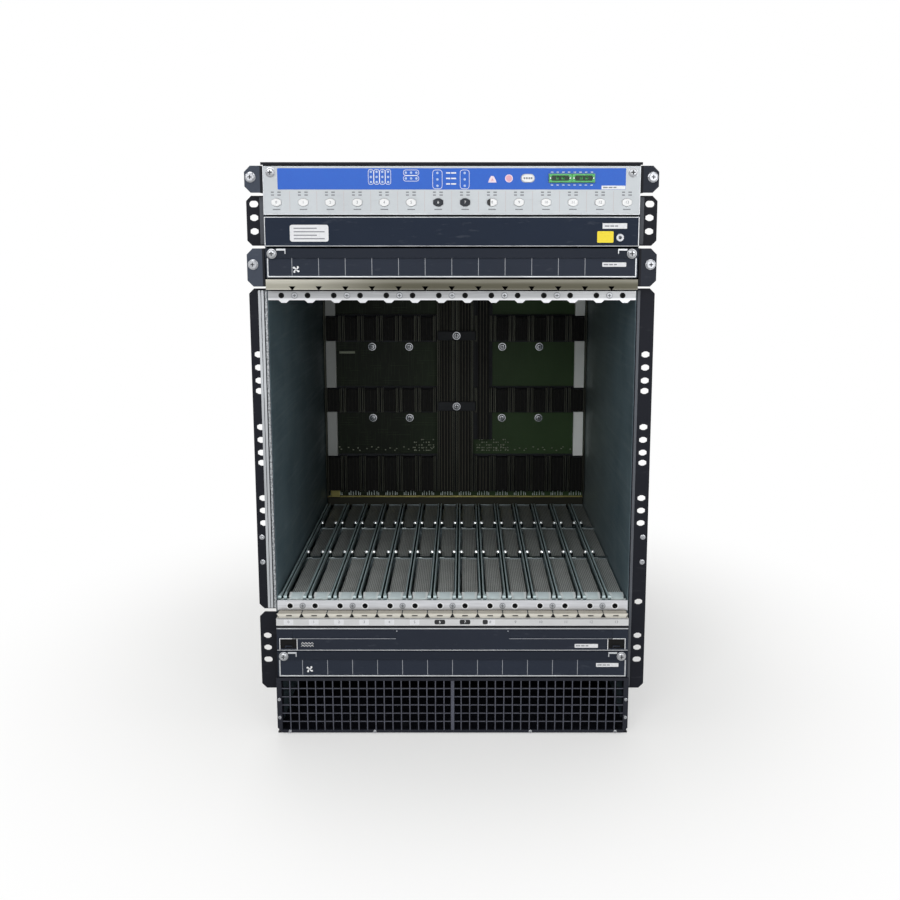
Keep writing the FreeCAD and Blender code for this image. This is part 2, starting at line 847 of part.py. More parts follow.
# Ejector tabs in front of the lower rail: a tab with a slot in it for each card's lever.
tabs = node(new_body("ejector_tabs"))
tab_z = lower_rail_z - d.tab_drop
tab_y = flange_y - d.tab_reach
foot_top = tab_z + d.tab_foot_height
pad(tabs, "front", tab_y, d.sheet_metal, rect((-panel_x, panel_x), (tab_z, foot_top)))
tab = pad(
    tabs,
    "front",
    tab_y,
    d.sheet_metal,
    polygon(
        (slot_x(0) - d.tab_foot_width / 2, foot_top),
        (slot_x(0) + d.tab_foot_width / 2, foot_top),
        (slot_x(0) + d.tab_top_width / 2, tab_z + d.tab_height),
        (slot_x(0) - d.tab_top_width / 2, tab_z + d.tab_height),
    ),
)
row(tabs, tab, "X", slot_span, d.slot_count)
tab_slot_z = (foot_top + tab_z + d.tab_height) / 2
lever_slot = rect(
    (slot_x(0) - d.tab_slot_length / 2, slot_x(0) + d.tab_slot_length / 2),
    (tab_slot_z - d.tab_slot_width / 2, tab_slot_z + d.tab_slot_width / 2),
)
tab_slot = pocket(tabs, "front", tab_y, d.sheet_metal, lever_slot)
row(tabs, tab_slot, "X", slot_span, d.slot_count)
tab_leg = rect((-panel_x, panel_x), (tab_y + d.sheet_metal, rail_back_y))
pad(tabs, "flat", tab_z, d.sheet_metal, tab_leg)


# Number strip over the filter, folded back along its foot.
numbers = node(new_body("number_strip"))
number_back_y = front_y + d.sheet_metal
pad(
    numbers,
    "side",
    -panel_x,
    2 * panel_x,
    polygon(
        (front_y, number_z),
        (front_y + d.number_return, number_z),
        (front_y + d.number_return, number_z + d.sheet_metal),
        (number_back_y, number_z + d.sheet_metal),
        (number_back_y, number_z + d.number_height),
        (front_y, number_z + d.number_height),
    ),
)


# Card cage: a deck with cross bars above and below, and a grooved guide for every slot on each.
bar_places = (d.cross_bar_first, d.cross_bar_second, d.cross_bar_third)


def cage_deck(label, deck_z, bar_z, bar_height):
    body = node(new_body(label))
    pad(body, "flat", deck_z, d.sheet_metal, rect((-inner_x, inner_x), (rail_back_y, midplane_y)))
    bars = [
        rect((-inner_x, inner_x), (flange_y + reach, flange_y + reach + d.cross_bar_width))
        for reach in bar_places
    ]
    pad(body, "flat", bar_z, bar_height, *bars)


def card_guides(label, seat_z, up, height):
    """Grooved channels from the rail back to the connectors, each with a flared entry for the card."""
    body = node(new_body(label))
    middle = slot_x(0) - d.guide_offset
    half = d.guide_width / 2
    groove = d.guide_groove / 2
    lip_level = seat_z + up * height
    groove_level = seat_z + up * d.guide_floor
    section = polygon(
        (middle - half, seat_z), (middle + half, seat_z),
        (middle + half, lip_level), (middle + groove, lip_level),
        (middle + groove, groove_level), (middle - groove, groove_level),
        (middle - groove, lip_level), (middle - half, lip_level),
    )
    length = d.cage_depth - d.rail_thickness - d.guide_rear_gap
    channel = pad(body, "front", rail_back_y, length, section)
    row(body, channel, "X", slot_span, d.slot_count)
    flare_low = seat_z if up > 0 else lip_level
    flares = [
        polygon(
            (middle + side * half, rail_back_y),
            (middle + side * (half + d.guide_flare), rail_back_y),
            (middle + side * half, rail_back_y + d.guide_flare_length),
        )
        for side in (-1, 1)
    ]
    flare = pad(body, "flat", flare_low, height, *flares)
    row(body, flare, "X", slot_span, d.slot_count)


floor_bar_z = lower_rail_z + d.sheet_metal
ceiling_z = upper_rail_top - d.sheet_metal
ceiling_bar_z = ceiling_z - d.upper_bar_height
cage_deck("cage_floor", lower_rail_z, floor_bar_z, d.cross_bar_height)
cage_deck("cage_ceiling", ceiling_z, ceiling_bar_z, d.upper_bar_height)
card_guides("lower_card_guides", floor_bar_z + d.cross_bar_height, 1, d.guide_height)
card_guides("upper_card_guides", ceiling_bar_z, -1, d.upper_guide_height)


# Midplane at the back of the cage, with the cards' connectors and the stiffeners along its edges.
midplane = node(new_body("midplane"))
midplane_z = lower_rail_top + d.midplane_margin
midplane_top = upper_rail_z - d.midplane_margin
pad(
    midplane, "front", midplane_y, d.midplane_thickness, rect((-panel_x, panel_x), (midplane_z, midplane_top))
)

connectors = node(new_body("slot_connectors"))
connector_y = midplane_y - d.connector_depth
low_z = (midplane_z + d.connector_low, midplane_z + d.connector_low + d.connector_low_height)
middle_z = (midplane_z + d.connector_middle, midplane_z + d.connector_middle + d.connector_middle_height)
high_z = (midplane_z + d.connector_high, midplane_z + d.connector_high + d.connector_high_height)
tall_top = midplane_top - d.bracket_gap
levels = {number: [low_z, middle_z, high_z] for number in slot_numbers}
for number in TALL_SLOTS:
    levels[number] = [(low_z[0], tall_top)]
levels[TALL_SLOTS[-1]] = [low_z, (midplane_z + d.last_tall_rise, tall_top)]
for number, heights in levels.items():
    across = (slot_x(number) - d.connector_width / 2, slot_x(number) + d.connector_width / 2)
    pad(connectors, "front", connector_y, d.connector_depth, *[rect(across, z) for z in heights])

stiffeners = node(new_body("midplane_brackets"))
stiffener_x = panel_x - d.bracket_inset
stiffener_heights = (
    (low_z[1] + d.bracket_gap, middle_z[0] - d.bracket_gap),
    (middle_z[1] + d.bracket_gap, high_z[0] - d.bracket_gap),
    (high_z[1] + d.bracket_gap, midplane_top - d.bracket_gap),
)
for side in (-1, 1):
    across = (side * (stiffener_x - d.bracket_width), side * stiffener_x)
    strips = [rect(across, z) for z in stiffener_heights]
    pad(stiffeners, "front", midplane_y - d.bracket_depth, d.bracket_depth, *strips)


# Intake grille: a frame with returns along the walls, upright wires and cross wires welded behind them.
frame = new_body("grille_frame")
corner = d.grille_corner
opening_x = outer_x - d.grille_side_margin
opening_z = (grille_z + d.grille_edge_margin, grille_top - d.grille_edge_margin)
pad(
    frame,
    "front",
    front_y,
    d.grille_depth,
    polygon(
        (-outer_x + corner, grille_z), (outer_x - corner, grille_z), (outer_x, grille_z + corner),
        (outer_x, grille_top), (-outer_x, grille_top), (-outer_x, grille_z + corner),
    ),
    rect((-opening_x, opening_x), opening_z),
)
return_y = (front_y + d.grille_depth, front_y + d.panel_return)
grille_returns = [
    rect((side * (panel_x - d.panel_sheet), side * panel_x), return_y) for side in (-1, 1)
]
pad(frame, "flat", grille_z + corner, d.grille_height - corner, *grille_returns)

wire_depth = d.grille_depth / 2
column_pitch = 2 * opening_x / d.grille_columns
row_pitch = (opening_z[1] - opening_z[0]) / d.grille_rows


def upright_wire(label, x, width):
    body = new_body(label)
    return body, pad(body, "front", front_y, wire_depth, rect((x - width / 2, x + width / 2), opening_z))


half_columns = d.grille_columns / 2 - 1
left_wires, left_wire = upright_wire("left_upright_wires", -opening_x + column_pitch, d.grille_wire)
row(left_wires, left_wire, "X", column_pitch * (half_columns - 1), half_columns)
right_wires, right_wire = upright_wire("right_upright_wires", column_pitch, d.grille_wire)
row(right_wires, right_wire, "X", column_pitch * (half_columns - 1), half_columns)
centre_bar = upright_wire("grille_centre_bar", as_size(0), d.grille_centre_bar)[0]
cross_wires = new_body("cross_wires")
first_wire_z = opening_z[0] + row_pitch
cross_wire = pad(
    cross_wires,
    "front",
    front_y + wire_depth,
    wire_depth,
    rect((-opening_x, opening_x), (first_wire_z - d.grille_wire / 2, first_wire_z + d.grille_wire / 2)),
)
row(cross_wires, cross_wire, "Z", row_pitch * (d.grille_rows - 2), d.grille_rows - 1)
group("intake_grille", [frame, left_wires, right_wires, centre_bar, cross_wires])


# Fan trays: a stepped front, a low tray behind it, and the fans seated on the tray's floor.
tray_x = panel_x - d.tray_body_inset
tray_back_y = front_y + d.tray_ledge_step + d.panel_sheet
fan_places = [
    (
        d.fan_pitch * column - d.fan_pitch * (d.fan_columns - 1) / 2,
        tray_back_y + d.fan_first_row + d.fan_pitch * line,
    )
    for line in range(whole(d.fan_rows))
    for column in range(whole(d.fan_columns))
]


def fan_tray(label, low):
    body = node(new_body(label))
    high = low + d.tray_height
    across = (-panel_x, panel_x)
    pad(body, "front", front_y + d.tray_ledge_step, d.panel_sheet, rect(across, (low, high)))
    pad(body, "front", front_y, d.tray_ledge_step, rect(across, (high - d.tray_ledge_height, high)))
    inner = tray_x - d.tray_sheet
    end_y = tray_back_y + d.tray_depth
    floor = rect((-tray_x, tray_x), (tray_back_y, end_y))
    inside = rect((-inner, inner), (tray_back_y + d.tray_sheet, end_y - d.tray_sheet))
    pad(body, "flat", low, d.tray_body_height, floor, inside)
    half = d.fan_bore_radius - d.tray_ledge_step
    air = [rect((x - half, x + half), (y - half, y + half)) for x, y in fan_places]
    pad(body, "flat", low, d.tray_sheet, floor, *air)


def fan_frame(label, x, y, z):
    """Square housing with a round bore, and four struts that carry the motor plate and its shaft."""
    body = new_body(label)
    half = d.fan_frame_side / 2
    square = rect((-half, half), (-half, half))
    pad(body, "flat", 0, d.fan_frame_height, square, ring(0, 0, d.fan_bore_radius, BORE_SIDES))
    arm = d.fan_strut_width / 2
    end = d.fan_bore_radius + arm
    cross = polygon(
        (-end, -arm), (-arm, -arm), (-arm, -end), (arm, -end), (arm, -arm), (end, -arm),
        (end, arm), (arm, arm), (arm, end), (-arm, end), (-arm, arm), (-end, arm),
    )
    pad(body, "flat", 0, d.fan_strut_height, cross)
    pad(body, "flat", 0, d.fan_strut_height, ring(0, 0, d.fan_hub_radius, ROUND_SIDES))
    shaft = d.fan_hub_gap + d.fan_hub_height / 2
    pad(body, "flat", d.fan_strut_height, shaft, ring(0, 0, d.fan_shaft_radius, ROUND_SIDES))
    place(body, x, y, z)
    return body


def fan_rotor(label, x, y, z):
    """A hub turning on the shaft, with pitched blades whose tips follow the bore."""
    body = node(new_body(label))
    pad(body, "flat", 0, d.fan_hub_height, ring(0, 0, d.fan_hub_radius, HUB_SIDES))
    chord = d.fan_blade_chord / 2
    slant = d.fan_blade_thickness * 2
    blade = pad(
        body,
        "front",
        d.fan_hub_radius - d.fan_blade_thickness,
        d.fan_blade_tip - d.fan_hub_radius + 2 * d.fan_blade_thickness,
        polygon(
            (-chord, d.fan_blade_thickness),
            (slant - chord, d.fan_blade_thickness),
            (chord, d.fan_hub_height - d.fan_blade_thickness),
            (chord - slant, d.fan_hub_height - d.fan_blade_thickness),
        ),
    )
    blades = body.newObject("PartDesign::PolarPattern", f"{label}_blades")
    blades.Originals = [blade]
    blades.Axis = (origin_feature(body, "Z_Axis"), [""])
    blades.Angle = 360
    blades.setExpression("Occurrences", d.fan_blade_count.formula)
    body.Tip = blades
    swept = circle(0, 0, d.fan_blade_tip)
    pocket(body, "flat", 0, d.fan_hub_height, circle(0, 0, d.fan_blade_tip + d.fan_blade_chord), swept)
    bore = ring(0, 0, d.fan_shaft_radius + d.running_gap, HUB_SIDES)
    pocket(body, "flat", 0, d.fan_hub_height / 2 + d.fan_hub_gap, bore)
    place(body, x, y, z)


for word, tray_z in (("upper", upper_tray_z), ("lower", lower_tray_z)):
    fan_tray(f"{word}_fan_tray", tray_z)
    seat_z = tray_z + d.tray_sheet
    frames = [fan_frame(f"{word}_fan_frame_{n}", x, y, seat_z) for n, (x, y) in enumerate(fan_places, 1)]
    group(f"{word}_fan_frames", frames)
    rotor_z = seat_z + d.fan_strut_height + d.fan_hub_gap
    for n, (x, y) in enumerate(fan_places, 1):
        fan_rotor(f"{word}_fan_rotor_{n}", x, y, rotor_z)


# Air filter: a front with two finger grips and a latch at each end, and a frame that holds the filter pad.
filter_tray = node(new_body("filter_tray"))
filter_back_y = front_y + d.panel_sheet
filter_end_y = filter_back_y + d.filter_depth
pad(filter_tray, "front", front_y, d.panel_sheet, rect((-panel_x, panel_x), (filter_z, filter_top)))
filter_outside = rect((-tray_x, tray_x), (filter_back_y, filter_end_y))
media_x = tray_x - d.tray_sheet
media_y = (filter_back_y + d.tray_sheet, filter_end_y - d.tray_sheet)
pad(filter_tray, "flat", filter_z, d.filter_body_height, filter_outside, rect((-media_x, media_x), media_y))
lip_x = media_x - d.filter_lip
lip_opening = rect((-lip_x, lip_x), (media_y[0] + d.filter_lip, media_y[1] - d.filter_lip))
pad(filter_tray, "flat", filter_z, d.tray_sheet, filter_outside, lip_opening)
grip_top = filter_top - d.grip_drop
grip_out = panel_x - d.grip_inset
grips = [
    rect((side * (grip_out - d.grip_length), side * grip_out), (grip_top - d.grip_height, grip_top))
    for side in (-1, 1)
]
pocket(filter_tray, "front", front_y, d.grip_depth, *grips)
latch_z = filter_z + d.latch_rise
latch_out = panel_x - d.latch_inset
latches = [
    rect((side * (latch_out - d.latch_width), side * latch_out), (latch_z, latch_z + d.latch_height))
    for side in (-1, 1)
]
pocket(filter_tray, "front", front_y, d.latch_depth, *latches)

media = node(new_body("filter_media"))
pad_x = media_x - d.filter_media_gap
pad_y = (media_y[0] + d.filter_media_gap, media_y[1] - d.filter_media_gap)
media_height = d.filter_body_height - 2 * d.tray_sheet
pad(media, "flat", filter_z + d.tray_sheet, media_height, rect((-pad_x, pad_x), pad_y))


# Build everything, stop at any piece that failed, and write one file for each node.
doc.recompute()
for item in doc.Objects:
    if "Invalid" in item.State or "Error" in item.State:
        raise RuntimeError(f"{item.Label} failed: {item.State}")
for body, feature in cuts:
    if feature.Shape.Volume >= feature.BaseFeature.Shape.Volume:
        raise RuntimeError(f"{feature.Label} cuts nothing from {body.Label}")
for item in nodes:
    if item.Shape.isNull() or not item.Shape.isValid():
        raise RuntimeError(f"{item.Label} has no valid shape")
os.makedirs("parts", exist_ok=True)
for item in nodes:
    item.Shape.exportStep(f"parts/{item.Label}.step")
print(f"{len(nodes)} nodes, {sum(len(item.Shape.Solids) for item in nodes)} solids")
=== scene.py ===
import bpy
import bmesh
import math
from mathutils import Matrix, Vector


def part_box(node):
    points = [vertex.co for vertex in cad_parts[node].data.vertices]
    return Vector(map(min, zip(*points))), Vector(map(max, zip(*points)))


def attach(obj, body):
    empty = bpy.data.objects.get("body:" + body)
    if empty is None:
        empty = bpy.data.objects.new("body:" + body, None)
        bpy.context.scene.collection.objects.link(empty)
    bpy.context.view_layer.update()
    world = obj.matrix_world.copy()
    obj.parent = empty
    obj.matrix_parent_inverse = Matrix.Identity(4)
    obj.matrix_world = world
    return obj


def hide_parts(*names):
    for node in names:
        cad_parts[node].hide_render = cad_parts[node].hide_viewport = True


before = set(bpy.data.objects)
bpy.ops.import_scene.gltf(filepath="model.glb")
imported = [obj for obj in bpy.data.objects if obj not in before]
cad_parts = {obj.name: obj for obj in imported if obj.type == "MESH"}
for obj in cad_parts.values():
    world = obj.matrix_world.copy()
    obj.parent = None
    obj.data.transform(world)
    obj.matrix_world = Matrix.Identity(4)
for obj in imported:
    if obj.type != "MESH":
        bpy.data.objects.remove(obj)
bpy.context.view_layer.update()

# Side walls and their rack flanges: zinc-coated steel sheet, folded, powder coated black outside and
# left bare on the inside of the cage, where the zinc has gone dull and a little blue. The bare zinc is
# painted lighter towards the front as painted light, and darker towards the back as painted shade, less
# so on the right wall than on the left.
MM = 0.001


def shade(code):
    """A colour written as six hex digits, as the linear colour that a socket takes."""
    parts = [int(code[i:i + 2], 16) / 255 for i in (0, 2, 4)]
    return (*[p / 12.92 if p <= 0.04045 else ((p + 0.055) / 1.055) ** 2.4 for p in parts], 1)


def joining(operation):
    """A method of Tone that joins it with another value by a Math node."""
    return lambda self, other: self.math(operation, self, other)


class Tone:
    """A value that changes over a surface. Arithmetic on it adds Math nodes to its tree."""

    def __init__(self, nodes, socket):
        self.nodes = nodes
        self.socket = socket

    def math(self, operation, *values):
        return self.nodes.node("ShaderNodeMath", {"operation": operation}, dict(enumerate(values)))

    def __rsub__(self, other):
        return self.math("SUBTRACT", other, self)

    def __abs__(self):
        return self.math("ABSOLUTE", self)

    def root(self):
        return self.math("SQRT", self)

    __add__ = __radd__ = joining("ADD")
    __sub__ = joining("SUBTRACT")
    __mul__ = __rmul__ = joining("MULTIPLY")
    __truediv__ = joining("DIVIDE")
    __mod__ = joining("FLOORED_MODULO")
    __gt__ = joining("GREATER_THAN")
    __lt__ = joining("LESS_THAN")
    most = joining("MAXIMUM")


class Nodes:
    """A tree of nodes. A socket takes a number, a colour as six hex digits, or a Tone, which is linked."""

    def __init__(self, tree):
        self.tree = tree

    def feed(self, node, sockets):
        for key, value in sockets.items():
            if isinstance(value, Tone):
                self.tree.links.new(value.socket, node.inputs[key])
            else:
                node.inputs[key].default_value = shade(value) if isinstance(value, str) else value

    def node(self, kind, settings=None, sockets=None, output=0):
        made = self.tree.nodes.new(kind)
        for key, value in (settings or {}).items():
            setattr(made, key, value)
        self.feed(made, sockets or {})
        return Tone(self, made.outputs[output])


class Finish(Nodes):
    """A surface finish: one material, its shader, and places on the part in metres."""

    def __init__(self, name, **sockets):
        self.material = bpy.data.materials.new(name)
        self.material.use_nodes = True
        super().__init__(self.material.node_tree)
        self.shader = self.tree.nodes["Principled BSDF"]
        self.feed(self.shader, {key.replace("_", " "): value for key, value in sockets.items()})
        self.place = self.node("ShaderNodeTexCoord", output="Object")

    def axis(self, letter):
        return self.node("ShaderNodeSeparateXYZ", sockets={0: self.place}, output=letter)

    def mix(self, amount, first, second):
        return self.node("ShaderNodeMix", {"data_type": "RGBA"}, {0: amount, 6: first, 7: second}, 2)

    def noise(self, per_metre, detail=3, stretch=(1, 1, 1)):
        spot = self.node("ShaderNodeVectorMath", {"operation": "MULTIPLY"}, {0: self.place, 1: stretch})
        return self.node("ShaderNodeTexNoise", None, {"Vector": spot, "Scale": per_metre, "Detail": detail})

    def clouds(self, per_metre, first, second, detail=3):
        return self.mix(self.noise(per_metre, detail), first, second)

    def step(self, value, low, high):
        return self.node(
            "ShaderNodeMapRange",
            {"interpolation_type": "SMOOTHSTEP"},
            {"Value": value, "From Min": low, "From Max": high},
        )

    def along(self, letter, low, high):
        """How far a place has come along an axis, from a low place to a high one, in metres."""
        return self.step(self.axis(letter), low, high)

    def edges(self, radius):
        """The normal with its edges rounded to a radius, and how near a place is to an edge."""
        rounded = self.node("ShaderNodeBevel", {"samples": 4}, {"Radius": radius})
        flat = self.node("ShaderNodeNewGeometry", output="Normal")
        along = self.node(
            "ShaderNodeVectorMath", {"operation": "DOT_PRODUCT"}, {0: rounded, 1: flat}, "Value"
        )
        return rounded, self.step(1 - along, 0.01, 0.12)

    def relief(self, height, depth, normal=None):
        sockets = {"Height": height, "Distance": depth, "Strength": 1}
        if normal:
            sockets["Normal"] = normal
        self.feed(self.shader, {"Normal": self.node("ShaderNodeBump", None, sockets)})

    def colour(self, tone):
        self.feed(self.shader, {"Base Color": tone})

    def cover(self, amount, tone):
        """Lays another colour over the one that the finish has so far."""
        painted = Tone(self, self.shader.inputs["Base Color"].links[0].from_socket)
        self.colour(self.mix(amount, painted, tone))

    def rough(self, tone):
        self.feed(self.shader, {"Roughness": tone})

    def metal(self, tone):
        self.feed(self.shader, {"Metallic": tone})


def tint(code, amount):
    """A colour made darker or lighter."""
    return (*[part * amount for part in shade(code)[:3]], 1)


def powder_coat(name, paint, worn, grain=0.00006, gloss=0.14):
    """Baked powder paint: a pebbled skin, slow changes of shade, fine rubs, and thin paint at the edges."""
    finish = Finish(name, Specular_IOR_Level=gloss)
    rounded, edge = finish.edges(0.0005)
    rubs = finish.step(finish.noise(60, 6, (1, 1, 3.5)), 0.6, 0.78)
    chips = edge * finish.step(finish.noise(240), 0.42, 0.6)
    finish.colour(finish.clouds(9, tint(paint, 0.82), tint(paint, 1.18), 4))
    finish.cover(rubs * 0.12, worn)
    finish.cover(chips * 0.55, worn)
    finish.rough(0.44 + 0.16 * finish.noise(25) + 0.1 * rubs)
    finish.relief(finish.noise(1900, 2), grain, rounded)
    return finish


def dress(finish, *names):
    for name in names:
        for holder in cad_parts[name].material_slots:
            holder.material = finish.material


wall = powder_coat("wall_paint_and_zinc", "12141c", "5a5b60")
inside = abs(wall.axis("X")) < 0.2193
# Painted light and shade: the bare zinc is lighter towards the front and darker towards the back, and the
# back of the right wall is lighter than the back of the left.
near = 1 - wall.along("Y", -0.22, 0.12)
lit_front_zinc = wall.clouds(14, "52656e", "7a8d95")
far = wall.mix(wall.axis("X") > 0, "445155", "7a8686")
streaks = wall.step(wall.noise(30, 5, (1, 0.25, 6)), 0.45, 0.75)
bare = wall.mix(streaks * 0.14, wall.mix(near, far, lit_front_zinc), "a9b6bd")
wall.cover(inside, bare)
wall.metal(inside * 0.6)
dress(wall, "left_side_wall", "right_side_wall")

# Top cover, base pan and rear panel: the same black sheet, with the rear panel held by pan head screws.
# Four blank plates cover the power bays, each with a counterbored screw at every corner.
black_sheet = powder_coat("black_sheet_paint", "13141a", "5d5e62")
dress(black_sheet, "top_cover", "base_pan", "rear_panel")


def placed(name, data):
    """A mesh, curve, lamp or camera set in the scene."""
    thing = bpy.data.objects.new(name, data)
    bpy.context.scene.collection.objects.link(thing)
    return thing


def new_piece(name, mesh, finish, body="chassis"):
    for polygon in mesh.polygons:
        polygon.use_smooth = False
    mesh.materials.clear()
    mesh.materials.append(finish.material)
    piece = placed(name, mesh)
    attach(piece, body)
    return piece


def from_shape(shape):
    mesh = bpy.data.meshes.new("form")
    bmesh.ops.recalc_face_normals(shape, faces=shape.faces)
    shape.to_mesh(mesh)
    shape.free()
    return mesh


def round_loop(x, z, radius, sides=24):
    """A circle by its middle, across and up, and its radius, in mm."""
    turns = [math.tau * n / sides for n in range(sides)]
    return [(x + radius * math.cos(turn), z + radius * math.sin(turn)) for turn in turns]


def skinned(rings):
    """A solid over a row of rings of places, in mm. A ring of one place is a tip."""
    shape = bmesh.new()
    rings = [[shape.verts.new(Vector(place) * MM) for place in ring] for ring in rings]
    for low, high in zip(rings, rings[1:]):
        for n in range(max(len(low), len(high))):
            around = ((low, n), (low, n + 1), (high, n + 1), (high, n))
            corners = [ring[place % len(ring)] for ring, place in around]
            shape.faces.new(list(dict.fromkeys(corners)))
    for end in (rings[0], rings[-1]):
        if len(end) > 1:
            shape.faces.new(end)
    return from_shape(shape)


def turned(profile, sides):
    """A turned form: radius and reach to the front, in mm, from its base to its tip."""
    rings = []
    for radius, reach in profile:
        loop = round_loop(0, 0, radius, sides if radius else 1)
        rings.append([(x, -reach, z) for x, z in loop])
    return skinned(rings)


def facing(form, degrees, axis="Z"):
    """A copy of a form, turned to face another way."""
    other = form.copy()
    other.transform(Matrix.Rotation(math.radians(degrees), 4, axis))
    return other


def facing_up(form):
    return facing(form, -90, "X")


def gathered(form, places):
    """A mesh made of a form set at several places, in mm."""
    shape = bmesh.new()
    for place in places:
        before = len(shape.verts)
        shape.from_mesh(form)
        shape.verts.ensure_lookup_table()
        bmesh.ops.translate(shape, verts=shape.verts[before:], vec=Vector(place) * MM)
    return from_shape(shape)


def copies(name, form, places, finish, body="chassis"):
    """One piece made of a form set at several places."""
    return new_piece(name, gathered(form, places), finish, body)


def block_mesh(blocks):
    """A mesh of blocks, each given by two corners in mm and the ease of its edges."""
    shape = bmesh.new()
    for first, last, ease in blocks:
        corners = bmesh.ops.create_cube(shape, size=1)["verts"]
        ends = list(zip(Vector(first) * MM, Vector(last) * MM))
        for corner in corners:
            corner.co = Vector([a + (c + 0.5) * (b - a) for (a, b), c in zip(ends, corner.co)])
        edges = list({edge for corner in corners for edge in corner.link_edges})
        bmesh.ops.bevel(shape, geom=edges, offset=ease * MM, segments=2, profile=0.5, affect="EDGES")
    return from_shape(shape)


def evaluated(holder):
    """The mesh of an object with its modifiers or outlines worked out. The object is taken away."""
    bpy.context.view_layer.update()
    mesh = bpy.data.meshes.new_from_object(holder.evaluated_get(bpy.context.evaluated_depsgraph_get()))
    bpy.data.objects.remove(holder)
    return mesh


def cut(mesh, tool):
    """A mesh with another taken out of it."""
    block, cutter = placed("blank", mesh), placed("cutter", tool)
    change = block.modifiers.new("cut", "BOOLEAN")
    change.operation = "DIFFERENCE"
    change.object = cutter
    result = evaluated(block)
    bpy.data.objects.remove(cutter)
    return result


def thicken(shape, faces, step):
    """Gives a sheet its thickness: a step in mm from its face to its back."""
    grown = bmesh.ops.extrude_face_region(shape, geom=faces)["geom"]
    corners = [part for part in grown if isinstance(part, bmesh.types.BMVert)]
    bmesh.ops.translate(shape, verts=corners, vec=Vector(step) * MM)


def cross_loop(arm, half):
    """The outline of a cross, by the length of its arms and half their width."""
    part = [(half, half), (half, arm), (-half, arm), (-half, half), (-arm, half), (-arm, -half)]
    return part + [(-x, -z) for x, z in part]


def cross_prism(radius, low, high):
    """A prism as wide as the cross recess of a screw head, between two reaches to the front, in mm."""
    shape = bmesh.new()
    cross = cross_loop(radius * 0.55, radius * 0.13)
    bottom = shape.faces.new([shape.verts.new(Vector((x, -low, z)) * MM) for x, z in cross])
    thicken(shape, [bottom], (0, low - high, 0))
    return from_shape(shape)


def cross_head(radius, height, collar=0):
    """A pan head with a cross recess, and a collar under it where the screw is captive."""
    profile = [(0, 0), (radius, 0), (radius, height * 0.45), (radius * 0.93, height * 0.72)]
    profile += [(radius * 0.72, height * 0.92), (radius * 0.4, height), (0, height * 1.02)]
    if collar:
        profile[1:2] = [(collar, 0), (collar, height * 0.2), (radius, height * 0.24)]
    return cut(turned(profile, 28), cross_prism(radius, height * 0.45, height * 1.45))


def bare_metal(name, dull, bright, roughness, brushed=(1, 1, 1), per_metre=220, metal=1):
    """Bare or plated metal: brushed or rolled lines, faint clouds of tarnish and bright rubbed edges."""
    finish = Finish(name, Metallic=metal)
    rounded, edge = finish.edges(0.0004)
    lines = finish.noise(per_metre, 5, brushed)
    tarnish = finish.step(finish.noise(16, 4), 0.45, 0.75)
    finish.colour(finish.mix(lines, dull, bright))
    finish.cover(tarnish * 0.3, dull)
    finish.cover(edge * 0.5, bright)
    finish.rough(roughness - 0.08 + 0.16 * lines + 0.08 * tarnish)
    finish.relief(lines, 0.00001, rounded)
    return finish


def box_mm(name):
    """The low and the high corner of a piece of the CAD part, in mm."""
    return [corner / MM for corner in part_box(name)]


def flanking(reach, y, levels):
    """Places at one reach to the left and to the right of the middle, at some levels, in mm."""
    return [(side * reach, y, z) for side in (-1, 1) for z in levels]


screw_steel = bare_metal("screw_steel", "6d6f74", "bfc1c5", 0.24)
small_head = cross_head(3.4, 1.4)
rear_inner_y, rear_y = [corner.y for corner in box_mm("rear_panel")]
rear_screws = flanking(212, rear_y, (290, 390, 490, 600, 690))
rear_screws += [(x, rear_y, 690) for x in (-140, -70, 0, 70, 140)]
rear_screws += [(x, rear_y, 290) for x in (-105, 0, 105)]
copies("rear_panel_screws", facing(small_head, 180), rear_screws, screw_steel)

(_, cover_inner, cover_foot), (_, cover_outer, cover_top) = box_mm("power_bay_covers")
cover_pitch, cover_half = 105, 51
bore_radius, bore_depth = 4.2, 1.1
corner_inset = 6
plates, cover_corners = [], []
for n in range(4):
    middle = (n - 1.5) * cover_pitch
    left, right = middle - cover_half, middle + cover_half
    plates.append(((left, cover_inner, cover_foot), (right, cover_outer, cover_top), 0.3))
    for x in (left + corner_inset, right - corner_inset):
        cover_corners += [(x, cover_foot + corner_inset), (x, cover_top - corner_inset)]
bore = turned([(0, -1), (bore_radius, -1), (bore_radius, bore_depth), (0, bore_depth)], 24)
bores = gathered(bore, [(x, cover_outer, z) for x, z in cover_corners])
covers = new_piece("bay_cover_plates", cut(block_mesh(plates), bores), black_sheet)
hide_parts("power_bay_covers")
sunk_screws = [(x, cover_outer - bore_depth, z) for x, z in cover_corners]
copies("bay_cover_screws", facing(cross_head(3.4, 0.95), 180), sunk_screws, screw_steel)

# Wall screws: pan head screws through both walls, in rows along the decks that they hold and down the
# rear edge.
wall_x = 220.5
for side, label in ((-1, "left"), (1, "right")):
    screws = [(side * wall_x, 278, z) for z in range(20, 681, 110)]
    screws += [(side * wall_x, y, z) for y in (-240, -70, 100) for z in (114, 164, 552, 690)]
    copies(f"{label}_wall_screws", facing(small_head, side * 90), screws, screw_steel)

# Exhaust screen: a thin black painted sheet with rows of small punched holes, spot welded to the inside
# of the rear panel, behind the exhaust slots. The holes are painted dark as painted shade.
hole_pitch = 0.0024


def in_cell(value, pitch):
    """How far a value is from the middle of its cell in a row of like cells, over their pitch."""
    return abs(value / pitch % 1 - 0.5)


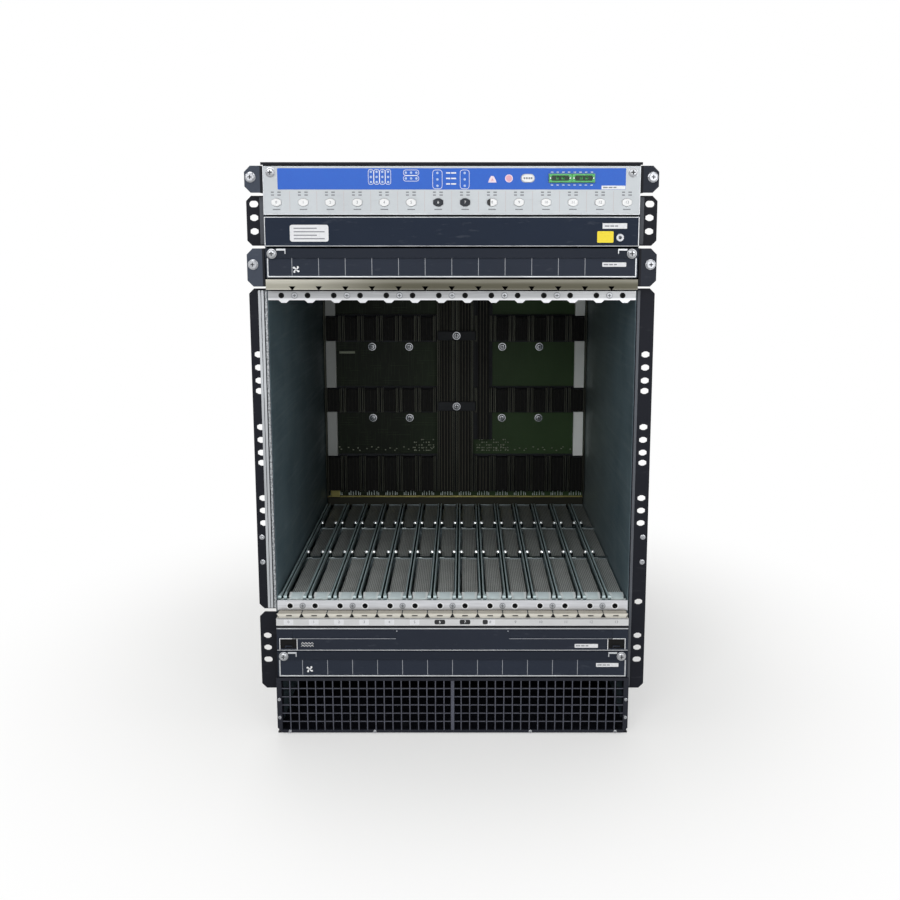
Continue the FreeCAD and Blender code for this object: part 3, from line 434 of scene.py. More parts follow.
def punch(finish, axes, rim, dark, smooth, dull):
    """Rows of small round holes over a sheet, dark and dull inside, from a rim inwards. The dark is painted
    shade.
    """
    one, other = [in_cell(finish.axis(letter), hole_pitch) for letter in axes]
    holes = 1 - finish.step((one * one + other * other).root(), rim, 0.34)
    # Painted shade: the holes are not cut, only painted dark as the shade seen through them.
    finish.cover(holes, dark)
    finish.rough(smooth + dull * holes)
    finish.relief(1 - holes, 0.0004)


def bar(left, right, low, high, back, out, ease):
    """A block by its ends, foot, top and back, in mm, that stands out to the front of its back."""
    return (left, back - out, low), (right, back, high), ease


def built(name, blocks, finish, body="chassis"):
    """One piece made of blocks."""
    return new_piece(name, block_mesh(blocks), finish, body)


exhaust_sheet = Finish("exhaust_screen", Specular_IOR_Level=0.25)
exhaust_sheet.colour(exhaust_sheet.clouds(30, "1d1e22", "33353a", 4))
punch(exhaust_sheet, "XZ", 0.26, "040405", 0.5, 0.4)
screen = bar(-206, 206, 540, 696, rear_inner_y, 1, 0.2)
built("exhaust_screen", [screen], exhaust_sheet)

# Rack ears: angle brackets of grey painted steel, bolted to the walls, with painted shade along the fold.
# The left ears are painted lighter as painted light, and the right ones darker as painted shade. Each holds
# a zinc-plated hex bolt with a washer face, a cross recess in its head with painted shade in it, and a
# threaded shank behind.
ear_paint = powder_coat("ear_paint", "2c313c", "6a6c73")
lit_left_ears = ear_paint.axis("X") < 0
fold_shade = abs(ear_paint.axis("X")) < 0.2216
# Painted light on the left ears, painted shade on the right ones and along the fold.
ear_paint.cover(lit_left_ears * 0.3, "5a6270")
ear_paint.cover((fold_shade * 0.9).most((1 - lit_left_ears) * 0.44), "0b0c10")
dress(ear_paint, "rack_ears")


def hex_bolt(flats, height, washer, shank, length):
    """A hex bolt from its shank to its head, in mm: ringed thread, washer face, corners turned off."""
    sides = 36
    turns = [math.tau * n / sides for n in range(sides)]
    outline = [flats / 2 / math.cos(turn % (math.pi / 3) - math.pi / 6) for turn in turns]
    crown, root = flats * 0.42, shank * 0.85
    steps = [(root, -length)]
    for n in range(length - 1):
        steps += [(shank, 0.4 + n - length), (root, 0.9 + n - length)]
    steps += [(shank, 0), (washer, 0), (washer, 0.6)]
    rows = [([radius] * sides, [reach] * sides) for radius, reach in steps]
    rows += [(outline, [0.7] * sides), (outline, [height - (far - crown) * 0.7 for far in outline])]
    rows.append(([crown] * sides, [height] * sides))
    rings = [
        [(r * math.cos(turn), -reach, r * math.sin(turn)) for r, reach, turn in zip(*row, turns)]
        for row in rows
    ]
    return cut(skinned(rings), cross_prism(crown, height - 1.4, height + 1))


bolt_plate = bare_metal("bolt_plating", "85878c", "c4c6ca", 0.3)
# Painted shade: a dark inlay in the cross recess of each bolt and captive screw.
captive_recess_shade = powder_coat("captive_recess_shade", "3c3d40", "2a2a2c")
ear_y = box_mm("rack_ears")[0].y
ear_bolts = flanking(232.5, ear_y, (688, 587.8))
bolts = copies("hex_ear_bolts", hex_bolt(10, 3.98, 6, 3, 12), ear_bolts, bolt_plate)
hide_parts("ear_bolts")
copies("ear_bolt_recesses", cross_prism(4, 2.58, 3.1), ear_bolts, captive_recess_shade)

# Flange trim: two thin aluminium edge strips down the left flange, grey painted folds down the right
# flange and beside the ears, a woven shielding gasket along the left wall's edge, and pan head screws.
strip_metal = bare_metal("edge_strip_aluminium", "8b8e92", "d0d3d6", 0.4, (1, 1, 0.05))
flange_y = box_mm("upper_rail")[0].y
strip_foot, strip_top = 161.5, 557


def bar_pair(inner, outer, *bounds):
    """Two like blocks, between two reaches from the middle, on the left and on the right."""
    return [bar(-outer, -inner, *bounds), bar(inner, outer, *bounds)]


strips = [bar(left, left + 3, strip_foot, strip_top, flange_y, 1, 0.25) for left in (-230.6, -227)]
built("left_edge_strips", strips, strip_metal)
fold_paint = powder_coat("fold_paint", "55585e", "8c8f95")
folds = [bar(220.8, 224, 58, strip_top, flange_y, 0.8, 0.25)]
folds += bar_pair(220.9, 225.6, 611, 666, flange_y, 0.8, 0.25)
built("flange_folds", folds, fold_paint)
gasket = Finish("shielding_gasket", Metallic=0.7)
weave = gasket.noise(900, 4, (1, 1, 0.5))
gasket.colour(gasket.mix(gasket.step(weave, 0.42, 0.58), "74777a", "aeb2b5"))
gasket.rough(0.35 + 0.3 * weave)
gasket.relief(weave, 0.0005)
gasket_strip = bar(-222.8, -220, strip_foot, strip_top, flange_y, 0.7, 0.3)
built("wall_gasket", [gasket_strip], gasket)
copies("flange_screws", small_head, flanking(235.4, flange_y, (253, 221)), screw_steel)

# Card cage floor and ceiling: zinc-coated decks with folded cross bars. Between the guides lie screens
# of punched sheet for the air, their holes painted dark as shade and the sheet darker towards the back as
# painted shade, with a rolled ramp at the mouth of each slot whose ends are lighter as a painted highlight.
# Plated pins with bright domes, and small upright tabs on the bars, locate the guides.
zinc = bare_metal("zinc_sheet", "6d787c", "aab4b8", 0.42, (1, 0.2, 1), 90)
dress(zinc, "cage_floor", "cage_ceiling", "tray_runners")
slot_pitch = 31.25
guide_offset = 10
cage_half = 217
slot_places = [(n - 6.5) * slot_pitch for n in range(14)]
guide_places = [x - guide_offset for x in slot_places]
floor_low, floor_high = box_mm("cage_floor")
floor_front, floor_top = floor_low.y, floor_high.z
ceiling_foot = box_mm("cage_ceiling")[0].z

screen_sheet = Finish("punched_screen", Metallic=0.25)
screen_sheet.colour(screen_sheet.clouds(30, "babdba", "e4e7e4", 4))
# Painted shade: the screens darken towards the back of the cage, and their holes are painted dark.
screen_sheet.cover(screen_sheet.along("Y", -0.26, 0.14), "6f7371")
punch(screen_sheet, "XY", 0.22, "1a1b1b", 0.45, 0.3)
bays = []
for x in guide_places:
    left, right = x + 6.2, min(x + slot_pitch - 4.6, cage_half)
    bays += [(left, right, near, far) for near, far in ((-246, -109), (-97, 33), (45, 170))]
for label, foot in (("floor", floor_top - 1.6), ("ceiling", ceiling_foot + 0.8)):
    sheets = [((left, near, foot), (right, far, foot + 0.8), 0.2) for left, right, near, far in bays]
    built(f"{label}_screens", sheets, screen_sheet)
rims = [bar(left, right, floor_top - 0.8, floor_top + 0.3, far, 1, 0.2) for left, right, _, far in bays]
built("screen_rims", rims, zinc)

pin = turned([(0, 0), (3.1, 0), (3.1, 7.6), (2.8, 9), (2.1, 10), (1.1, 10.6), (0, 10.8)], 16)
pin_columns = [x + side * 5.2 for x in guide_places for side in (-1, 1)]
pin_places = [(x, y, floor_top - 0.2) for x in pin_columns if abs(x) < 215.5 for y in (-103.6, 38.4)]
pin_plating = bare_metal("pin_plating", "eef3f3", "fefefe", 0.16, metal=0.85)
dome_foot, dome_top = (floor_top + 5.8) * MM, (floor_top + 7.4) * MM
shanks = 1 - pin_plating.along("Z", dome_foot, dome_top)
pin_plating.cover(shanks, "2c3638")
copies("guide_pins", facing_up(pin), pin_places, pin_plating)

ramps = bmesh.new()
for x in guide_places:
    left, right = x + 5.6, min(x + slot_pitch - 5.6, cage_half)
    lines = []
    for turn in [math.radians(18 * n) for n in range(6)]:
        inset = 3 * (1 - math.sin(turn))
        y = floor_front + 24 - 19 * math.cos(turn)
        z = floor_top - 4 + 7.4 * math.sin(turn)
        lines.append([ramps.verts.new(Vector((end, y, z)) * MM) for end in (left + inset, right - inset)])
    roll = [ramps.faces.new([a[0], a[1], b[1], b[0]]) for a, b in zip(lines, lines[1:])]
    thicken(ramps, roll, (0, 0.8, -0.8))


def guide_gap(finish):
    """How far a place is from the middle of the nearest guide, over the pitch of the slots."""
    return in_cell(finish.axis("X") / MM + guide_offset, slot_pitch)


fine_grain = 0.00003
ramp_zinc = powder_coat("ramp_zinc", "d6e4e6", "f0fafa", fine_grain, 0.5)
# Painted highlight: the ends of each ramp, beside the guides, are lighter.
highlit_ends = 1 - ramp_zinc.step(guide_gap(ramp_zinc), 0.2, 0.34)
ramp_zinc.cover(highlit_ends, "fbffff")
new_piece("entry_ramps", from_shape(ramps), ramp_zinc)
bright_zinc = bare_metal("bright_zinc", "aeb9b7", "e9f2f0", 0.4, (1, 0.2, 1), 120)
tabs = [
    bar(x + 5, x + 12, floor_top - 1, floor_top + 0.8, back, 1.2, 0.3)
    for x in guide_places for back in (-107.4, 34.6)
]
tabs.append(bar(-217.5, 217.5, floor_top - 6, floor_top + 3.2, floor_front + 1.8, 1, 0.2))
built("floor_tabs", tabs, bright_zinc)

# Card guides: grooved strips of zinc-coated sheet along both decks, flared at the mouth. The top edges of
# the grooves are left light as a painted highlight, and painted shade darkens the groove, the sides away
# from the edges and the back of the cage.
guide_zinc = powder_coat("guide_zinc", "c6d8da", "f0fafa", fine_grain)
lip = guide_zinc.along("Z", (floor_top + 2.2) * MM, (floor_top + 6.8) * MM)
past_mouth = guide_zinc.along("Y", -0.264, -0.258)
outside = guide_zinc.step(guide_gap(guide_zinc) * slot_pitch, 2.3, 2.8) * past_mouth
# Painted shade on the sides away from the groove edges, towards the back of the cage, and in the groove.
guide_zinc.cover(outside * 0.7, "2f3d3f")
guide_zinc.cover(guide_zinc.along("Y", -0.16, 0.1) * 0.5, "243032")
guide_zinc.cover(1 - lip, "1f2c2d")
guide_zinc.metal(0.35 * lip)
dress(guide_zinc, "lower_card_guides", "upper_card_guides")

# Midplane: a thick dark green board with fine tracks and small parts, a brass ground bar and contact
# fingers along its foot, and grey stiffeners at its sides. Its black connectors have ribbed faces and
# metal keys. Two clamp bars hold the tall ones, and captive screws hold the board.
board = Finish("midplane_board", Specular_IOR_Level=0.14)
upright_runs = board.step(board.noise(70, 1, (3, 1, 0.4)), 0.48, 0.56)
tracks = board.step(in_cell(board.axis("X"), 0.0026), 0.38, 0.46) * upright_runs
level_runs = board.step(board.noise(55, 1, (0.6, 1, 2)), 0.55, 0.62)
rungs = board.step(in_cell(board.axis("Z"), 0.0042), 0.4, 0.46) * level_runs
# Painted shade: the left half of the board is darker than the right.
right_half = board.along("X", -0.12, 0.16)
dark_green = board.mix(right_half, "0b0e09", "283a20")
pale_green = board.mix(right_half, "171f13", "374c2e")
board.colour(board.clouds(12, dark_green, pale_green))
board.cover((tracks + rungs) * 0.35, "39472f")
board.cover(1 - board.along("Z", 0.1827, 0.1835), "a08a5a")
board.rough(0.5 - 0.14 * tracks)
board.relief(tracks + rungs, 0.00004)
dress(board, "midplane")

rib_pitch, blade_pitch = 0.00625, 0.005
connector = Finish("connector_plastic", Specular_IOR_Level=0.14)
x = connector.axis("X")
rib = connector.step(in_cell(x + rib_pitch / 2, rib_pitch), 0.34, 0.42)
pin_rows = connector.step(in_cell(connector.axis("Z"), 0.0021), 0.2, 0.34)
connector.colour(connector.mix(rib, "0b0b0a", connector.mix(pin_rows, "121211", "25251f")))
tall_column = abs(x - 0.016) < 0.046
blades = connector.step(in_cell(x + rib_pitch / 2, blade_pitch), 0.4, 0.46) * tall_column
connector.cover(blades * 0.8, "57564a")
connector.rough(0.42 + 0.2 * connector.noise(120))
connector.relief(rib + 0.4 * pin_rows, 0.0004)
dress(connector, "slot_connectors")
bracket_paint = powder_coat("bracket_grey", "979997", "dcdedb")
# Painted light: the right bracket is lighter than the left.
bracket_paint.cover(bracket_paint.axis("X") > 0, "eef0ed")
dress(bracket_paint, "midplane_brackets")

midplane_y = box_mm("midplane")[0].y
connector_y = box_mm("slot_connectors")[0].y
clamp_levels = (459, 341)
dark_clip = powder_coat("clamp_bar_paint", "232528", "5e6165")
clamps = [bar(-29, 34, z - 7.5, z + 7.5, connector_y + 2, 6, 0.8) for z in clamp_levels]
built("connector_clamp_bars", clamps, dark_clip)
wide_head = cross_head(5, 3, 6.6)
wide_cross = cross_prism(4.8, 1.35, 2.2)
# Painted shade: a dark inlay for the cross recesses of the midplane screws, and later for the rail holes
# and the latch wells.
recess_shade = powder_coat("recess_shade", "0c0c0d", "2a2a2c")
clamp_screws = [(2.4, connector_y - 4, z) for z in clamp_levels]
copies("clamp_screws", wide_head, clamp_screws, screw_steel)
board_screws = [(x, midplane_y, z) for x in (-138.4, -76.7, 78.3, 140.1) for z in (439, 318.6)]
copies("midplane_screws", wide_head, board_screws, screw_steel)
copies("midplane_screw_recesses", wide_cross, clamp_screws + board_screws, recess_shade)

switch_slots = (6, 7)
key_reach = midplane_y - connector_y - 1
keys = []
for n, x in enumerate(slot_places):
    levels = [(194, 533)] if n in switch_slots else [(194, 255), (330, 371), (449, 491)]
    for low, high in levels:
        for left in (x - 14.1, x - 11.5, x + 10.5, x + 13.1):
            keys.append(bar(left, left + 1, low, high, midplane_y, key_reach, 0.15))
key_metal = bare_metal("connector_key_metal", "2e2f2b", "62645a", 0.45, (1, 1, 0.1))
built("connector_keys", keys, key_metal)
shroud_top = 534
shrouds = [bar(-29, 30, 192, shroud_top, midplane_y, 2.4, 0.3)]
shrouds.append(bar(30, 62, 282, shroud_top, midplane_y, 2.4, 0.3))
for low, high in ((192, 257), (328, 373), (447, 493)):
    for left, right in ((-216, -29), (30, 216)):
        shrouds.append(bar(left, right, low, high, midplane_y, 1.6, 0.3))
built("connector_shrouds", shrouds, dark_clip)

brass = bare_metal("brass", "777040", "c0b676", 0.4, (0.1, 1, 1), 300)
ground = [bar(-216, 216, 181.2, 183.6, midplane_y, 1.2, 0.2)]
ground.append(bar(-212, -196, 182, 199, midplane_y, 5, 0.8))
built("midplane_ground_bar", ground, brass)
fingers = []
for n, x in enumerate(slot_places):
    for k, reach in enumerate((-9.6, -6.6, -2.6, 1.9, 6.4, 9.4)):
        tip = 189.5 + (5 * n + 3 * k) % 5
        fingers.append(bar(x + reach, x + reach + 1.2, 185, tip, midplane_y, 2, 0.1))
pale_zinc = powder_coat("pale_zinc", "bcc6c2", "8d9894", fine_grain)
built("midplane_fingers", fingers, pale_zinc)
skirt = bar(-cage_half, cage_half, floor_top - 2, 181, midplane_y + 1, 1, 0.2)
skirt_zinc = powder_coat("skirt_zinc", "2a2a23", "56564b", fine_grain)
built("midplane_skirt", [skirt], skirt_zinc)
parts_foot = 262
parts = [bar(-193, -167, 427.8, 431.6, midplane_y, 1.6, 0.3)]
for first, last in ((-70, -36), (36, 92)):
    for row in range(5):
        for column in range(first, last, 4):
            right = column + 1.2 + (column + 3 * row) % 3 * 0.8
            if (column // 4 + 2 * row) % 5 > row // 2:
                foot = parts_foot + 4.6 * row
                parts.append(bar(column, right, foot, foot + 1.8, midplane_y, 1.4, 0.2))
for n, x in enumerate(slot_places):
    if n in switch_slots:
        continue
    for k, reach in enumerate((-10, -3, 4, 9)):
        left, foot = x + reach + (n * 3 + k) % 3, parts_foot + (n * 5 + k * 3) % 7
        parts.append(bar(left, left + 2.6, foot, foot + 1.6, midplane_y, 1.4, 0.2))
part_coat = powder_coat("board_part_coat", "7f8474", "b3b5a4", fine_grain)
built("midplane_parts", parts, part_coat)
corner_strips = bar_pair(216.2, 218.2, 182, shroud_top, midplane_y, 3, 0.3)
built("midplane_corner_strips", corner_strips, key_metal)

# Card rails: extruded aluminium bars across the mouth of the cage, brushed along their length, the upper
# one painted darker as shade, with a painted highlight along its foot. Seven flush cross head screws hold
# each, one between each pair of card screw holes, each with a painted shade ring and cross. The holes are
# painted shade: a dark ring on the face and a dark disc behind each.
rail_brushing = (0.34, (0.04, 1, 1), 700)
dress(bare_metal("rail_aluminium", "b4b6ba", "e2e3e7", *rail_brushing), "lower_rail")
# Painted shade: the upper rail is a darker copy of the same aluminium, with a painted highlight along its
# foot.
shaded_rail = bare_metal("upper_rail_aluminium", "888a8c", "b2b3b5", *rail_brushing)
foot_highlight = 1 - shaded_rail.along("Z", 0.5462, 0.5490)
shaded_rail.cover(foot_highlight * 0.8, "d8d9dc")
dress(shaded_rail, "upper_rail")
lower_hole_z = 163.8
rail_levels = (551, lower_hole_z)
flush_radius = 3.3
rail_screws = [(n * 2 * slot_pitch, flange_y, z) for n in range(-3, 4) for z in rail_levels]
dull_steel = bare_metal("dull_screw_steel", "9a9ca0", "c4c6ca", 0.4)
copies("rail_screws", cross_head(flush_radius, 0.4), rail_screws, dull_steel)


def flat_mesh(curve, x, y, z):
    """A flat filled curve made a mesh that stands up and faces the front, at a place in mm."""
    mesh = evaluated(placed("outline", curve))
    stand = Matrix.Rotation(math.radians(90), 4, "X")
    mesh.transform(Matrix.Translation(Vector((x, y, z)) * MM) @ stand)
    return mesh


film = 0.08


def print_mesh(loops, y, thick=film):
    """Printed or applied shapes: outlines in mm across and up. One inside another is a hole in it."""
    curve = bpy.data.curves.new("outline", "CURVE")
    curve.dimensions = "2D"
    curve.fill_mode = "BOTH"
    curve.extrude = thick * MM / 2
    for loop in loops:
        spline = curve.splines.new("POLY")
        spline.points.add(len(loop) - 1)
        for point, (across, up) in zip(spline.points, loop):
            point.co = (across * MM, up * MM, 0, 1)
        spline.use_cyclic_u = True
    return flat_mesh(curve, 0, y - thick / 2, 0)


def printed(name, loops, y, finish, thick=film, body="chassis"):
    """One piece made of printed or applied shapes."""
    return new_piece(name, print_mesh(loops, y, thick), finish, body)


def ring_loops(x, z, outer, inner):
    return [round_loop(x, z, outer), round_loop(x, z, inner)]


def ink(name, tone, faded):
    """Screen-printed ink: an uneven film, worn thin in places."""
    finish = Finish(name, IOR=1.45)
    thin = finish.step(finish.noise(420, 4), 0.5, 0.8)
    finish.colour(finish.mix(thin * 0.35 + 0.15 * finish.noise(40, 2), tone, faded))
    finish.rough(0.45 + 0.2 * thin)
    finish.relief(finish.noise(2400, 2), 0.00001)
    return finish


white_ink = ink("white_ink", "e9eaec", "a8aaae")
slate_ink = ink("slate_ink", "4a4d52", "74777c")
# Painted shade: dark rings round the card screw holes and dark discs behind them.
shade_ring_radius = 3.4
shade_rings, collars, shade_backs = [], [], []
for x in slot_places:
    for z in rail_levels:
        shade_rings += ring_loops(x, z, shade_ring_radius, 1.7)
        shade_backs.append(round_loop(x, z, 2.6, 16))
    collars += ring_loops(x, lower_hole_z, 4.3, shade_ring_radius)
printed("rail_hole_bushes", shade_rings, flange_y, recess_shade, 0.2)
printed("rail_hole_rims", collars, flange_y, white_ink, 0.25)
printed("rail_hole_backs", shade_backs, flange_y + 2.9, recess_shade, 0.3)
# Painted shade: a dark ring round each flush screw head and a dark cross in its recess.
screw_shade_rings = []
for x, _, z in rail_screws:
    screw_shade_rings += ring_loops(x, z, 3.7, flush_radius)
    screw_shade_rings.append([(x + across, z + up) for across, up in cross_loop(2, 0.35)])
printed("rail_screw_rims", screw_shade_rings, flange_y - 0.01, slate_ink, 0.5)

# Trim strip under the upper fan tray: bare sheet with a warm tint, brushed along its length, darker towards
# its right end as a painted reflection, and with painted shade in the band above its notches.
trim_metal = bare_metal("trim_sheet", "96948a", "c5c3b9", 0.4, (0.03, 1, 1), 600)
shaded_band = (1 - trim_metal.along("Z", 0.5640, 0.5695)) * trim_metal.along("Z", 0.5592, 0.5600)
# Painted reflection: darker towards the right end. Painted shade in the band above the notches.
shaded_end = trim_metal.along("X", -0.21, -0.05)
trim_metal.cover(shaded_end * 0.72, "4c4a3f")
trim_metal.cover(shaded_band * 0.85, trim_metal.mix(shaded_end, "8d8b80", "4a483c"))
dress(trim_metal, "upper_trim_strip")

# Ejector tabs and number strip: pressed tabs in cream enamel with a shelf and slits between them, and a
# light plate below that carries the slot numbers, on paper patches at the first slots and on dark labels at
# the slots for the switch cards. Painted shade: a black sheet behind the tabs, black in the slits, a dark
# line under the rail and a dark line along the top of the number strip.
dress(powder_coat("cream_enamel", "d9d6cc", "a7a49b", fine_grain), "ejector_tabs")
dress(powder_coat("number_plate", "c9cacb", "9b9c9e", fine_grain), "number_strip")


def digit_mesh(words, x, y, z, tall, thick=0.06):
    curve = bpy.data.curves.new("digits", "FONT")
    curve.body = words
    curve.size = tall * MM * 1.4
    curve.align_x = "CENTER"
    curve.align_y = "CENTER"
    curve.extrude = thick * MM / 2
    curve.resolution_u = 3
    return flat_mesh(curve, x, y - thick / 2, z)


def joined(meshes):
    shape = bmesh.new()
    for mesh in meshes:
        shape.from_mesh(mesh)
    return from_shape(shape)


def slot_digits(name, slots, y, tall, finish):
    """The numbers of some slots on the number strip."""
    digits = [digit_mesh(str(n), slot_places[n], y, 148.2, tall) for n in slots]
    new_piece(name, joined(digits), finish)


def box_loop(left, right, low, high):
    return [(left, low), (right, low), (right, high), (left, high)]


def soft_loop(left, right, low, high, radius):
    corners = ((right - radius, high - radius, 0), (left + radius, high - radius, 90))
    corners += ((left + radius, low + radius, 180), (right - radius, low + radius, 270))
    turns = [(x, z, math.radians(start + step)) for x, z, start in corners for step in (0, 30, 60, 90)]
    return [(x + radius * math.cos(turn), z + radius * math.sin(turn)) for x, z, turn in turns]


front_y = box_mm("display_panel")[0].y
shelf_y = front_y + 5.6
strip_half = 218
black_ink = ink("black_ink", "111214", "38393d")
# Painted shade: a black sheet behind the tabs, black fill in the slits between them, a dark line under the
# rail and a dark line along the top of the number strip.
shade_backing = box_loop(-cage_half, cage_half, 150.8, 156.6)
printed("tab_backing", [shade_backing], front_y + 5.8, black_ink, 0.3)
shelf = ((-cage_half, shelf_y, 157), (cage_half, flange_y + 2, 157.8), 0.15)
shelf_enamel = powder_coat("shelf_enamel", "b1aca1", "6f6a60", fine_grain)
built("tab_shelf", [shelf], shelf_enamel)
boundaries = [x + slot_pitch / 2 for x in slot_places[:-1]]
shaded_slits = [((x - 0.7, shelf_y, 157.7), (x + 0.7, flange_y, 157.9), 0.05) for x in boundaries]
built("tab_slits", shaded_slits, black_ink)
rail_foot_shadow = box_loop(-strip_half, strip_half, 157.9, 158.7)
printed("rail_foot_line", [rail_foot_shadow], flange_y, black_ink, 0.1)
strip_shadow_line = box_loop(-strip_half, strip_half, 152, 152.7)
printed("number_strip_line", [strip_shadow_line], front_y, slate_ink)
label_paper = ink("label_paper", "dcdde0", "b9bbc0")
grey_ink = ink("grey_ink", "75787d", "a5a8ad")
plain_slots = [n for n in range(len(slot_places)) if n not in switch_slots]
patch_places = [slot_places[n] for n in plain_slots[:7]]
patches = [soft_loop(x - 6, x + 6, 144.6, 151.4, 1) for x in patch_places]
printed("slot_number_patches", patches, front_y, label_paper, 0.05)
slot_digits("slot_numbers", plain_slots, front_y - 0.05, 3.4, grey_ink)
label_ends = [(slot_places[n] - 6.6, slot_places[n] + 6.6) for n in switch_slots]
half_x = slot_places[8]
label_ends.append((half_x - 9.4, half_x - 3))
labels = [soft_loop(left, right, 145.2, 151.2, 1.8) for left, right in label_ends]
printed("switch_slot_labels", labels, front_y, black_ink, 0.1)
slot_digits("switch_slot_numbers", switch_slots, front_y - 0.1, 3.6, white_ink)

# Fans: square frames of glass-filled black plastic with struts, held by a screw in each corner, and a
# bladed rotor on each shaft. A round paper label is stuck on each hub, and has no print.
fan_plastic = Finish("fan_plastic", IOR=1.5)
fan_round, fan_edge = fan_plastic.edges(0.0006)
fan_plastic.colour(fan_plastic.clouds(60, "17181b", "26282c", 4))
fan_dust = fan_plastic.step(fan_plastic.noise(35, 5), 0.5, 0.8)
fan_plastic.cover(fan_dust * 0.25 + fan_edge * 0.15, "6b6a66")
fan_plastic.rough(0.5 + 0.2 * fan_dust)
fan_plastic.relief(fan_plastic.noise(1500, 2), 0.00003, fan_round)
upright_head = facing_up(small_head)
hub_disc = facing_up(turned([(0, 0), (17, 0), (17, 0.15), (0, 0.15)], 40))
hub_paper = ink("hub_paper", "a9abae", "7c7e82")
fan_middles = [(x, y) for y in (-175.5, -37.5) for x in (-138, 0, 138)]
for level in ("upper", "lower"):
    frames = f"{level}_fan_frames"
    dress(fan_plastic, frames)
    frame_top = box_mm(frames)[1].z
    corners = []
    for n, (x, y) in enumerate(fan_middles, 1):
        rotor = f"{level}_fan_rotor_{n}"
        dress(fan_plastic, rotor)
        corners += [(x + a, y + b, frame_top) for a in (-55, 55) for b in (-55, 55)]
        hub = [(x, y, box_mm(rotor)[1].z)]
        copies(f"{level}_hub_label_{n}", hub_disc, hub, hub_paper, f"{level}_rotor_{n}")
    copies(f"{level}_fan_screws", upright_head, corners, screw_steel, f"{level}_tray")

# Fan trays: dark blue-grey painted steel with a ledge along the top, bare metal along the foot and the
# ends, printed lines at the slot boundaries, a fan sign, and a captive screw in a bracket at each end.
tray_paint = powder_coat("tray_paint", "242a36", "6b6e76")
ledge = tray_paint.axis("Y") < -0.2905
tray_paint.cover(ledge * 0.75, "191e28")
dress(tray_paint, "upper_fan_tray", "lower_fan_tray")
edge_metal = bare_metal("bare_edge", "9a9da1", "d9dcdf", 0.35, (0.05, 1, 1), 500)
captive_head = cross_head(4.9, 3, 5.7)
captive_cross = cross_prism(4.7, 1.35, 1.8)
tray_ink = ink("tray_ink", "9a9da4", "6f7279")
captive_steel = bare_metal("captive_steel", "85878b", "c8cacd", 0.3, metal=0.9)


def captive_screws(name, reach, z, body):
    """A captive screw at each end of a panel, with painted shade in its recess."""
    places = flanking(reach, front_y, [z])
    copies(f"{name}_screws", captive_head, places, captive_steel, body)
    copies(f"{name}_screw_recesses", captive_cross, places, captive_recess_shade, body)


def fan_sign(x, z, reach):
    """A four-blade fan: four swept blades round a small hub."""
    blade = [(0.12, -0.12), (0.5, -0.22), (0.95, -0.1), (1, 0.25), (0.7, 0.4), (0.45, 0.12), (0.12, 0.12)]
    blades = []
    for quarter in range(4):
        turn = math.radians(45 + 90 * quarter)
        side, rise = reach * math.cos(turn), reach * math.sin(turn)
        blades.append([(x + a * side - b * rise, z + a * rise + b * side) for a, b in blade])
    return blades


def label_rows(name, left, foot, y, body="chassis"):
    """Small print on a label, as plain bars."""
    spans = ((0, 5.5), (6.5, 11), (12, 15.5))
    rows = [box_loop(left + start, left + end, foot, foot + 1.5) for start, end in spans]
    printed(name, rows, y, grey_ink, body=body)


def heights(name):
    """The foot and the top of a piece of the CAD part, in mm."""
    return [corner.z for corner in box_mm(name)]


tray_half = 216.6
face_y = front_y + 2.5
for level, sign_x, label_x in (("upper", -182.7, 176.5), ("lower", -178.7, 179.5)):
    low, high = heights(f"{level}_fan_tray")
    tray = f"{level}_tray"
    lines = [box_loop(x - 0.32, x + 0.32, low + 2.2, high - 11.2) for x in boundaries[:12]]
    printed(f"{tray}_lines", lines, face_y, tray_ink, body=tray)
    printed(f"{tray}_sign", fan_sign(sign_x, low + 9.4, 4.6), face_y, white_ink, body=tray)
    label = soft_loop(label_x, label_x + 28, low + 12.6, low + 17.6, 0.8)
    printed(f"{tray}_label", [label], face_y, label_paper, 0.1, tray)
    label_rows(f"{tray}_label_rows", label_x + 1.5, low + 14.3, face_y - 0.1, tray)
    edging = [bar(-tray_half, tray_half, low + 0.1, low + 1.7, face_y, 0.9, 0.2)]
    edging += bar_pair(215, tray_half, low + 1.7, high - 11.1, face_y, 0.9, 0.2)
    edging += bar_pair(194, 205, high - 2.6, high - 0.4, front_y, 1.4, 0.3)
    edging += bar_pair(194, 195.2, high - 6.4, high - 2.6, front_y, 1.4, 0.2)
    built(f"{tray}_edging", edging, edge_metal, tray)
    captive_screws(tray, 210.4, high - 6.2, tray)

# Air filter: a pad of open grey foam in a dark painted steel tray. Its front has bare edges, a painted
# shadow along the top, a finger latch in a white outline at each end with painted shade in its well, a
# painted highlight along each grip, and a printed zigzag sign.
filter_paint = powder_coat("filter_paint", "222732", "6b6e76")
dress(filter_paint, "filter_tray")
foam = Finish("filter_foam", IOR=1.4)
cells = foam.node(
    "ShaderNodeTexVoronoi", {"feature": "DISTANCE_TO_EDGE"}, {"Vector": foam.place, "Scale": 450}
)
pores = foam.step(cells, 0.02, 0.2)
foam.colour(foam.mix(pores, "55565a", "121214"))
foam.rough(0.9 - 0.1 * pores)
foam.relief(1 - pores, 0.0012)
dress(foam, "filter_media")

panel_half = 218.2
thin_edge = (front_y, 0.5, 0.2)


def panel_edge(foot, top):
    """A thin bare edge along the whole width of a front panel."""
    return bar(-panel_half, panel_half, foot, top, *thin_edge)


def filter_print(name, loops, finish, thick=film):
    printed(name, loops, front_y, finish, thick, "filter")


low, high = heights("filter_tray")
edging = [panel_edge(high - 2.9, high - 1.9), panel_edge(low + 0.1, low + 0.9)]
built("filter_edging", edging, edge_metal, "filter")
